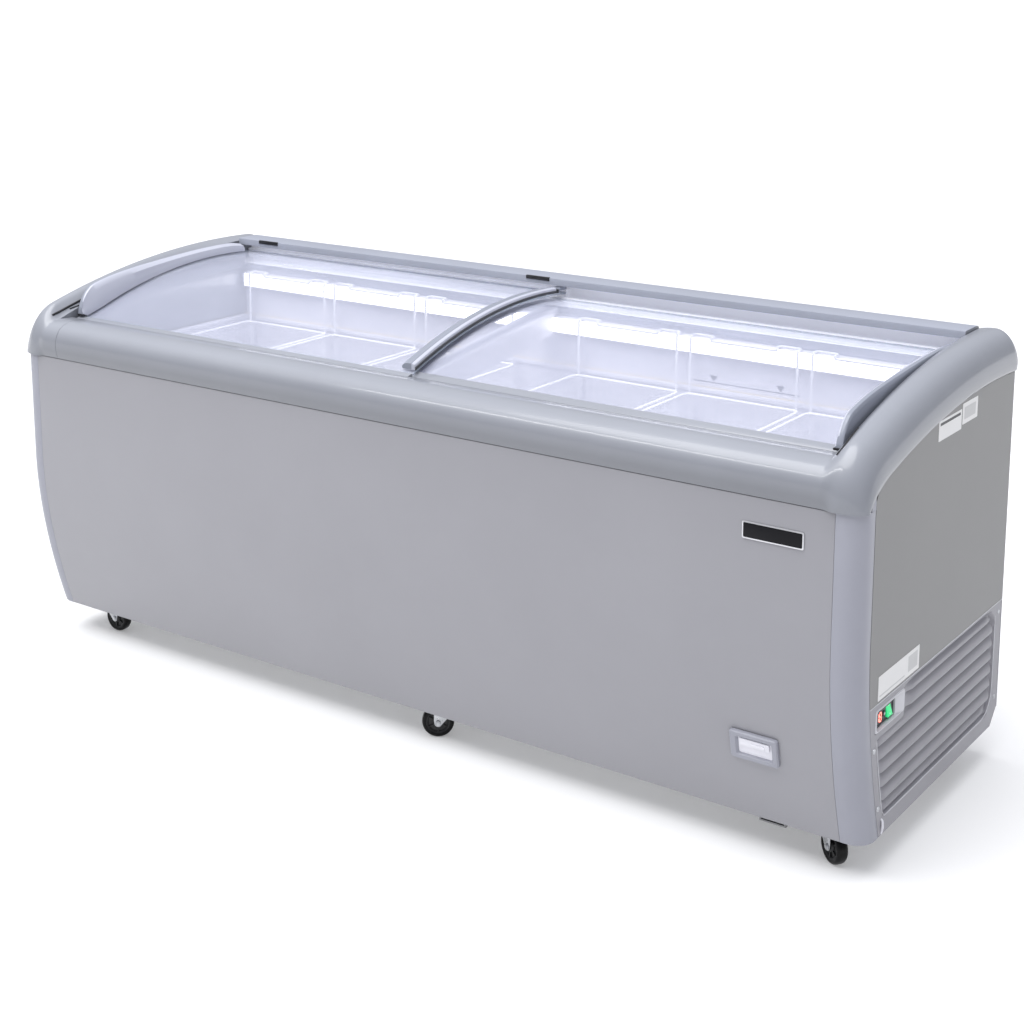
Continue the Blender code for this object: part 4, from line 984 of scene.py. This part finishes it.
def controls():
    """Pale surround and black tray with a two-digit display, a set key and a green rocker."""
    y0, y1, z0, z1 = FRONT + 0.0853, FRONT + 0.2047, 0.2683, 0.3097
    sunk = rounded_outline((y0 + 0.0052, z0 + 0.0042), (y1 - 0.033, z1 - 0.0042), 0.004)
    rings = []
    for near, rear, high, radius, x in ((0, 0, 0, 0.006, -0.005), (0, 0, 0, 0.006, -0.0004),
                                        (0.0012, 0.0015, 0.0012, 0.006, 0.001),
                                        (0.0028, 0.009, 0.0026, 0.006, 0.0012),
                                        (0.0045, 0.03, 0.004, 0.004, -0.0026)):
        outline = rounded_outline((y0 + near, z0 + high), (y1 - rear, z1 - high), radius)
        rings.append(flat(outline, "X", SIDE_X + x))
    rings += [flat(sunk, "X", SIDE_X - 0.003), flat(sunk, "X", SIDE_X - 0.0062)]
    shape = Shape().loft(rings, 0, around=True)
    shape.prism(rounded_outline((y0 + 0.0045, z0 + 0.0035), (y1 - 0.0315, z1 - 0.0035), 0.004),
                "X", SIDE_X - 0.029, SIDE_X - 0.0062, 1)
    shape.piece("control_tray", [PALE_TRIM_AND_EDGE_HIGHLIGHT, BLACK], "black_plastic", "control_bezel")
    glass_x = SIDE_X - 0.0042
    display = Shape()
    display.box((SIDE_X - 0.006, FRONT + 0.095, 0.2756), (glass_x, FRONT + 0.122, 0.3024), 0,
                0.0005)
    display.box((glass_x - 0.0002, FRONT + 0.097, 0.2785),
                (glass_x + 0.0002, FRONT + 0.12, 0.2995), 1)
    display.piece("display_window", [GLOSS_BLACK, BLACK], "black_plastic", "temperature_display")
    digits = Shape()
    wide, tall, stroke = 0.0078, 0.015, 0.0017
    bars = {"a": (0, 1, 1, 1), "b": (1, 0.5, 1, 1), "c": (1, 0, 1, 0.5), "d": (0, 0, 1, 0),
            "e": (0, 0, 0, 0.5), "f": (0, 0.5, 0, 1), "g": (0, 0.5, 1, 0.5)}
    for column, lit in enumerate(("bc", "abcdefg")):
        y, z = FRONT + 0.099 + column * 0.0104, 0.2815
        for bar in lit:
            u0, v0, u1, v1 = bars[bar]
            side_u, side_v = (0, 0.0011) if u0 == u1 else (0.0011, 0)
            thick_u, thick_v = (stroke / 2, 0) if u0 == u1 else (0, stroke / 2)
            digits.box((glass_x + 0.0002, y + u0 * wide - thick_u + side_u,
                        z + v0 * tall - thick_v + side_v),
                       (glass_x + 0.0005, y + u1 * wide + thick_u - side_u,
                        z + v1 * tall + thick_v - side_v))
    digits.piece("display_digits", DIGIT, "black_plastic")
    key = Shape().box((SIDE_X - 0.0125, FRONT + 0.1262, 0.2847),
                      (SIDE_X - 0.0038, FRONT + 0.1338, 0.2933), 0, 0.001)
    key.cylinder((SIDE_X - 0.0037, FRONT + 0.13, 0.289), 0.0024, 0.0006, "X", 20, 1)
    key.piece("set_key_cap", [BLACK, PALE_TRIM_AND_EDGE_HIGHLIGHT], "black_plastic", "set_button", body="set_key")
    cx, cy, cz = SIDE_X - 0.009, FRONT + 0.15, 0.289
    section = [(cx - 0.003, cz - 0.009), (cx + 0.0066, cz - 0.0112), (cx + 0.0074, cz - 0.0106),
               (cx + 0.006, cz - 0.005), (cx + 0.0045, cz), (cx + 0.0032, cz + 0.005),
               (cx + 0.0022, cz + 0.0105), (cx + 0.0012, cz + 0.0114), (cx - 0.003, cz + 0.009)]
    rocker = Shape().prism(section, "Y", cy - 0.0096, cy + 0.0096, 0, 0.0006)
    rocker.box((cx + 0.0058, cy - 0.0005, cz - 0.0084), (cx + 0.007, cy + 0.0005, cz - 0.005),
               1)
    rocker.box((cx + 0.0022, cy - 0.0018, cz + 0.0058), (cx + 0.0034, cy + 0.0018, cz + 0.0066),
               1)
    rocker.piece("rocker_cap", [GREEN, PAPER], "switch_green", "rocker_switch", body="rocker")


# ---------------------------------------------------------------- machine compartment


def machinery():
    """Compressor with its pipe, condenser and fan behind the grille."""
    pot = Shape()
    profile = [(0.0, 0.0), (0.03, 0.0), (0.052, 0.01), (0.063, 0.024), (0.0685, 0.042),
               (0.07, 0.055), (0.0735, 0.0585), (0.074, 0.064), (0.0735, 0.069),
               (0.0695, 0.0725), (0.0685, 0.088), (0.0645, 0.106), (0.056, 0.122),
               (0.043, 0.134), (0.026, 0.1415), (0.0, 0.144)]
    pot.turned(profile, (0.75, 0.08, 0.112), "Z", 56, 0)
    pot.prism(rounded_outline((0.672, -0.01), (0.828, 0.17), 0.012), "Z", 0.096, 0.1, 1,
              0.0008)
    for px in (0.688, 0.812):
        for py in (0.006, 0.154):
            pot.turned([(0.0, 0.0), (0.01, 0.0), (0.011, 0.003), (0.009, 0.007),
                        (0.01, 0.011), (0.006, 0.012), (0.0, 0.012)], (px, py, 0.1002), "Z", 20,
                       2)
    pot.cylinder((0.75, 0.08, 0.11), 0.034, 0.022, "Z", 32, 1)
    pot.box((0.806, 0.052, 0.15), (0.8265, 0.108, 0.205), 2, 0.004)
    pot.tube(rounded([(0.7, 0.11, 0.225), (0.69, 0.135, 0.262), (0.69, 0.17, 0.275),
                      (0.76, 0.205, 0.275), (0.9, 0.2, 0.27), (0.93, 0.19, 0.262)],
                     0.025, 6), 0.0035, 10, 3)
    pot.piece("compressor_pot", [POT, ZINC, BLACK, COPPER], "compressor_steel", "compressor")
    low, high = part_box("condenser")
    coil = Shape()
    count = 60
    for i in range(count):
        y = low.y + 0.004 + (high.y - low.y - 0.008) * i / (count - 1)
        coil.box((low.x + 0.001, y - 0.00025, 0.112), (high.x - 0.001, y + 0.00025, high.z - 0.001))
    for z in (0.13, 0.165, 0.2, 0.235, 0.27):
        for dx in (0.01, 0.03):
            coil.tube([(low.x + dx, low.y + 0.0005, z), (low.x + dx, high.y - 0.0005, z)],
                      0.0045, 10, 1)
    for y in (low.y, high.y - 0.0012):
        coil.box((low.x, y, low.z), (high.x, y + 0.0012, high.z), 2)
    coil.box((low.x, low.y + 0.016, low.z), (high.x, high.y - 0.016, 0.1115), 2, 0.0006)
    coil.piece("finned_condenser", [FINS, COPPER, ZINC], "condenser_fins", "condenser")
    item = NODES["fan_motor_and_shroud"]
    item.data.materials.clear()
    item.data.materials.append(BLACK)
    fan = Shape()
    fx, fy, fz = 0.905, 0.06, 0.205
    fan.turned([(0.0, -0.017), (0.02, -0.017), (0.022, -0.014), (0.022, 0.002), (0.018, 0.005),
                (0.0, 0.005)], (fx, fy, fz), "X", 32)
    for i in range(5):
        start = fan.count()
        rings = []
        for k in range(7):
            r = 0.019 + 0.061 * k / 6
            chord = 0.013 + 0.011 * math.sin(math.pi * (0.25 + 0.6 * k / 6))
            pitch = math.radians(34 - 14 * k / 6)
            ring = []
            for u, t in ((-1, 0), (-0.5, 0.5), (0, 0.7), (0.5, 0.5), (1, 0), (0.5, -0.3),
                         (0, -0.4), (-0.5, -0.3)):
                a, b = u * chord, t * 0.0012 + 0.0025 * (1 - u * u)
                ring.append((b * math.cos(pitch) - a * math.sin(pitch) * 0.6,
                             a * math.cos(pitch) + b * math.sin(pitch), r))
            rings.append(ring)
        fan.loft(rings)
        fan.moved(Matrix.Translation((fx - 0.005, fy, fz))
                  @ Matrix.Rotation(i * math.tau / 5, 4, "X"), start)
    fan.piece("fan_rotor", BLACK, "black_plastic", "fan_blade", body="fan")


# ---------------------------------------------------------------- fittings and labels


def fittings():
    """Blank badge, drain with its plug, blank stickers on the right side, and a white tie."""
    badge = Shape()
    badge.prism(rounded_outline((0.785, 0.592), (0.896, 0.622), 0.003), "Y", FRONT - 0.0022,
                FRONT - 0.0004, 0, 0.0005)
    badge.prism(rounded_outline((0.7875, 0.5945), (0.8935, 0.6195), 0.0022), "Y",
                FRONT - 0.0027, FRONT - 0.0021, 1, 0.0002)
    badge.piece("blank_badge", [SILVER, GLOSS_BLACK], "satin_metal", "badge_plate")

    x0, x1, z0, z1 = 0.762, 0.852, 0.193, 0.247
    middle = (z0 + z1) / 2
    tilt = math.atan2(setback(z0) - setback(z1), z1 - z0)
    place = (Matrix.Translation((0, FRONT + setback(middle), middle))
             @ Matrix.Rotation(tilt, 4, "X"))
    bezel = Shape()
    rings = []
    for left, right, low, high, radius, depth in (
            (0, 0, -0.027, 0.027, 0.005, -0.0008), (0, 0, -0.027, 0.027, 0.005, -0.006),
            (0.002, 0.002, -0.025, 0.025, 0.004, -0.0085),
            (0.011, 0.01, -0.019, 0.018, 0.004, -0.0078),
            (0.015, 0.013, -0.0165, 0.0165, 0.003, -0.003),
            (0.015, 0.013, -0.0165, 0.0165, 0.003, -0.0008)):
        outline = rounded_outline((x0 + left, low), (x1 - right, high), radius)
        rings.append(flat(outline, "Y", depth))
    bezel.loft(rings, 0, around=True)
    bezel.prism(rounded_outline((x0 + 0.014, -0.0175), (x1 - 0.012, 0.0175), 0.003), "Y",
                -0.0029, -0.0009, 1)
    bezel.moved(place)
    bezel.piece("drain_surround", [POST, LINER_WHITE], "post_plastic", "drain_bezel")
    plug = Shape()
    plug.prism(rounded_outline((x0 + 0.018, 0.0), (x1 - 0.016, 0.0145), 0.003), "Y", -0.006,
               -0.0034, 0, 0.0008)
    plug.prism(rounded_outline((x0 + 0.04, 0.003), (x1 - 0.024, 0.009), 0.002), "Y", -0.0079,
               -0.005, 0, 0.0006)
    plug.moved(place)
    plug.piece("drain_tab", LINER_WHITE, "liner_plastic", "drain_plug", body="drain_stopper")

    for y0, y1, z0, z1, name, look, lift, radius in (
            (0.304, 0.408, 0.716, 0.752, "upper_label_card", PAPER, 0.0003, 0.002),
            (0.412, 0.484, 0.722, 0.76, "upper_label_tag", PAPER, 0.0003, 0.002),
            (0.31, 0.402, 0.7425, 0.7475, "upper_label_stripe", LABEL_DARK, 0.0004, 0.0005),
            (0.42, 0.474, 0.73, 0.752, "upper_label_field", PAPER_MARK, 0.0004, 0.001),
            (0.09, 0.262, 0.325, 0.368, "lower_label_card", PAPER, 0.0003, 0.002),
            (0.096, 0.2, 0.331, 0.3335, "lower_label_rule", PAPER_MARK, 0.0004, 0.0005),
            (0.214, 0.254, 0.333, 0.361, "lower_label_field", PAPER_MARK, 0.0004, 0.001)):
        Shape().prism(rounded_outline(at(y0, z0), at(y1, z1), radius, 4), "X", SIDE_X + 0.00005,
                      SIDE_X + lift).piece(name, look, "panel_paint")
    tie = Shape()
    tie.tube(rounded([(SIDE_X - 0.007, FRONT + 0.127, 0.103),
                      (SIDE_X + 0.002, FRONT + 0.127, 0.1),
                      (SIDE_X + 0.0022, FRONT + 0.128, 0.086),
                      (SIDE_X - 0.001, FRONT + 0.129, 0.0745)], 0.004, 4), 0.0022, 8)
    tie.piece("cable_tie", LINER_WHITE, "liner_plastic")


# ---------------------------------------------------------------- casters


def both_sides(profile):
    """A profile of (radius, height) followed by its mirror image below height 0."""
    return profile + [(radius, -height) for radius, height in reversed(profile)]


def caster(name, x, y, heading):
    """Twin-plate swivel fork and wheel, turned by heading about the swivel's axis."""
    spin = Matrix.Translation((x, y, 0)) @ Matrix.Rotation(heading, 4, "Z")
    leg = WHEEL_W / 2 + 0.0022
    fork = Shape()
    fork.turned([(0.0, 0.0892), (0.0165, 0.0892), (0.0205, 0.088), (0.0215, 0.0855),
                 (0.0215, 0.083), (0.02, 0.0818), (0.0215, 0.0806), (0.0215, 0.0775),
                 (0.019, 0.0752), (0.0, 0.0752)], (0, 0, 0), "Z", 40, 0)
    fork.prism(rounded_outline((-0.016, -leg - 0.0012), (0.022, leg + 0.0012), 0.004), "Z",
               0.0725, 0.076, 0, 0.0006)
    outline = rounded([(-0.016, 0.075, 0), (0.006, 0.042, 0),
                       (TRAIL - 0.008, WHEEL_R - 0.003, 0), (TRAIL - 0.003, WHEEL_R - 0.0088, 0),
                       (TRAIL + 0.006, WHEEL_R - 0.0065, 0), (TRAIL + 0.008, WHEEL_R + 0.004, 0),
                       (0.0325, 0.06, 0), (0.022, 0.075, 0)], 0.006, 4)
    for side in (-1, 1):
        fork.prism([(p.x, p.y) for p in outline], "Y", side * leg - 0.0011, side * leg + 0.0011,
                   0, 0.0005)
        fork.cylinder((TRAIL, side * (leg + 0.0022), WHEEL_R), 0.0058, 0.0024, "Y", 24, 0, 0.0007)
        fork.cylinder((TRAIL, side * (leg + 0.0037), WHEEL_R), 0.0042, 0.001, "Y", 6, 0, 0.0003)
    fork.cylinder((TRAIL, 0, WHEEL_R), 0.0036, 2 * leg, "Y", 20, 0)
    fork.moved(spin)
    fork.piece(f"{name}_fork_steel", ZINC, "zinc_steel", f"{name}_caster_fork",
               body=f"{name}_caster_swivel")
    half = WHEEL_W / 2
    wheel = Shape()
    tyre = [(WHEEL_R - 0.0085, half - 0.0012), (WHEEL_R - 0.0055, half - 0.0002),
            (WHEEL_R - 0.0025, half - 0.0012), (WHEEL_R - 0.0006, half - 0.004),
            (WHEEL_R, half - 0.007)]
    hub = [(0.0045, half), (0.0085, half), (0.01, half - 0.001), (0.0112, half - 0.0045),
           (0.019, half - 0.005), (0.0215, half - 0.0022), (WHEEL_R - 0.0084, half - 0.0016)]
    wheel.turned(tyre + [(WHEEL_R, 0.0)] + both_sides(tyre)[len(tyre):], (0, 0, 0), "Y", 56, 0)
    wheel.turned(both_sides(hub), (0, 0, 0), "Y", 40, 1)
    for i in range(6):
        for side in (-1, 1):
            start = wheel.count()
            wheel.box((0.0105, side * (half - 0.0052), -0.0012),
                      (0.0208, side * (half - 0.002), 0.0012), 1, 0.0004)
            wheel.moved(Matrix.Rotation(math.tau * (i + 0.5) / 6, 4, "Y"), start)
    wheel.moved(spin @ Matrix.Translation((TRAIL, 0, WHEEL_R)))
    wheel.piece(f"{name}_tyred_wheel", [RUBBER, HUB], "wheel_rubber", f"{name}_caster_wheel",
                body=f"{name}_caster_roller")


def casters():
    for side, y in (("front", -0.2015), ("rear", 0.2015)):
        for label, x, heading in (("left", -0.9, 0), ("middle", 0.08, -145),
                                  ("right", 0.894, -36)):
            caster(f"{side}_{label}", x, y, math.radians(math.copysign(heading, heading * -y)))
            plate = Shape().prism(rounded_outline((x - 0.029, y - 0.032), (x + 0.029, y + 0.032),
                                                  0.006), "Z", 0.0888, 0.0894, 0, 0.0002)
            for dx in (-0.021, 0.021):
                for dy in (-0.024, 0.024):
                    plate.cylinder((x + dx, y + dy, 0.0874), 0.0052, 0.0028, "Z", 6, 0, 0.0004)
            plate.piece(f"{side}_{label}_caster_plate", ZINC, "zinc_steel")


# ---------------------------------------------------------------- stage, light and camera


def light(name, kind, direction, energy, place=(0, 0, 0), **settings):
    data = bpy.data.lights.new(name, kind)
    data.energy = energy
    for key, value in settings.items():
        setattr(data, key, value)
    lamp = bpy.data.objects.new(name, data)
    lamp.location = place
    lamp.rotation_euler = Vector(direction).to_track_quat("-Z", "Y").to_euler()
    bpy.context.scene.collection.objects.link(lamp)


def studio():
    """Pale floor, soft overhead light and an even background."""
    scene = bpy.context.scene
    scene.view_settings.view_transform = "Standard"
    floor_mesh = bpy.data.meshes.new("floor")
    work = bmesh.new()
    bmesh.ops.create_grid(work, x_segments=2, y_segments=2, size=400.0)
    work.to_mesh(floor_mesh)
    work.free()
    pale = surface("studio_floor", (0.74, 0.74, 0.745), 0.8, shade=0.008, shade_scale=0.7,
                   grain=0.02, grain_scale=60.0)
    shader = pale.node_tree.nodes["Principled BSDF"]
    shader.inputs["Emission Color"].default_value = (1, 1, 1, 1)
    shader.inputs["Emission Strength"].default_value = 0.24
    floor_mesh.materials.append(pale)
    floor = bpy.data.objects.new("studio_floor", floor_mesh)
    scene.collection.objects.link(floor)
    world = bpy.data.worlds.new("studio")
    world.use_nodes = True
    tree = world.node_tree
    background = tree.nodes["Background"]
    where = tree.nodes.new("ShaderNodeTexCoord")
    split = tree.nodes.new("ShaderNodeSeparateXYZ")
    sky = tree.nodes.new("ShaderNodeValToRGB")
    for stop, place, tone in zip(sky.color_ramp.elements, (0.0, 0.75),
                                 ((0.3, 0.31, 0.33, 1), (0.9, 0.92, 1.0, 1))):
        stop.position, stop.color = place, tone
    tree.links.new(where.outputs["Generated"], split.inputs["Vector"])
    tree.links.new(split.outputs["Z"], sky.inputs["Fac"])
    tree.links.new(sky.outputs["Color"], background.inputs["Color"])
    background.inputs["Strength"].default_value = 0.75
    scene.world = world
    light("overhead_sun", "SUN", (0.12, 0.28, -1.0), 2.75, angle=math.radians(55))
    strip, target = Vector((-1.3, -2.6, 3.2)), Vector((-0.6, -0.2, 0.7))
    light("front_strip", "AREA", target - strip, 26.0, strip, shape="RECTANGLE", size=2.6,
          size_y=0.25)


def camera():
    """Looks down a little from in front of the right end, with the upright edges parallel."""
    tilt_down, turn = 0.1912, 0.6142
    data = bpy.data.cameras.new("photo_camera")
    data.sensor_width = 36.0
    data.lens = 61.39
    data.shift_y = -0.22
    data.clip_end = 1500.0
    view = bpy.data.objects.new("photo_camera", data)
    view.location = (2.0492, -2.783, 1.5376)
    view.rotation_euler = (math.pi / 2 - tilt_down, 0.0, turn)
    bpy.context.scene.collection.objects.link(view)
    bpy.context.scene.camera = view


# ---------------------------------------------------------------- assembly

camera()
front_panel()
collar()
rail_details()
for side, sign in SIDES:
    corner_post(side, sign)
    collar_end(side, sign)
lid("left", -1, 0.0)
lid("right", 1, -LID_DROP)
inside()
for side, sign in SIDES:
    for number, offset in enumerate((0.205, 0.475, 0.745), start=1):
        basket(f"{side}_basket_{number}", sign * offset)
side_and_back()
grille()
controls()
machinery()
fittings()
screws()
casters()
studio()
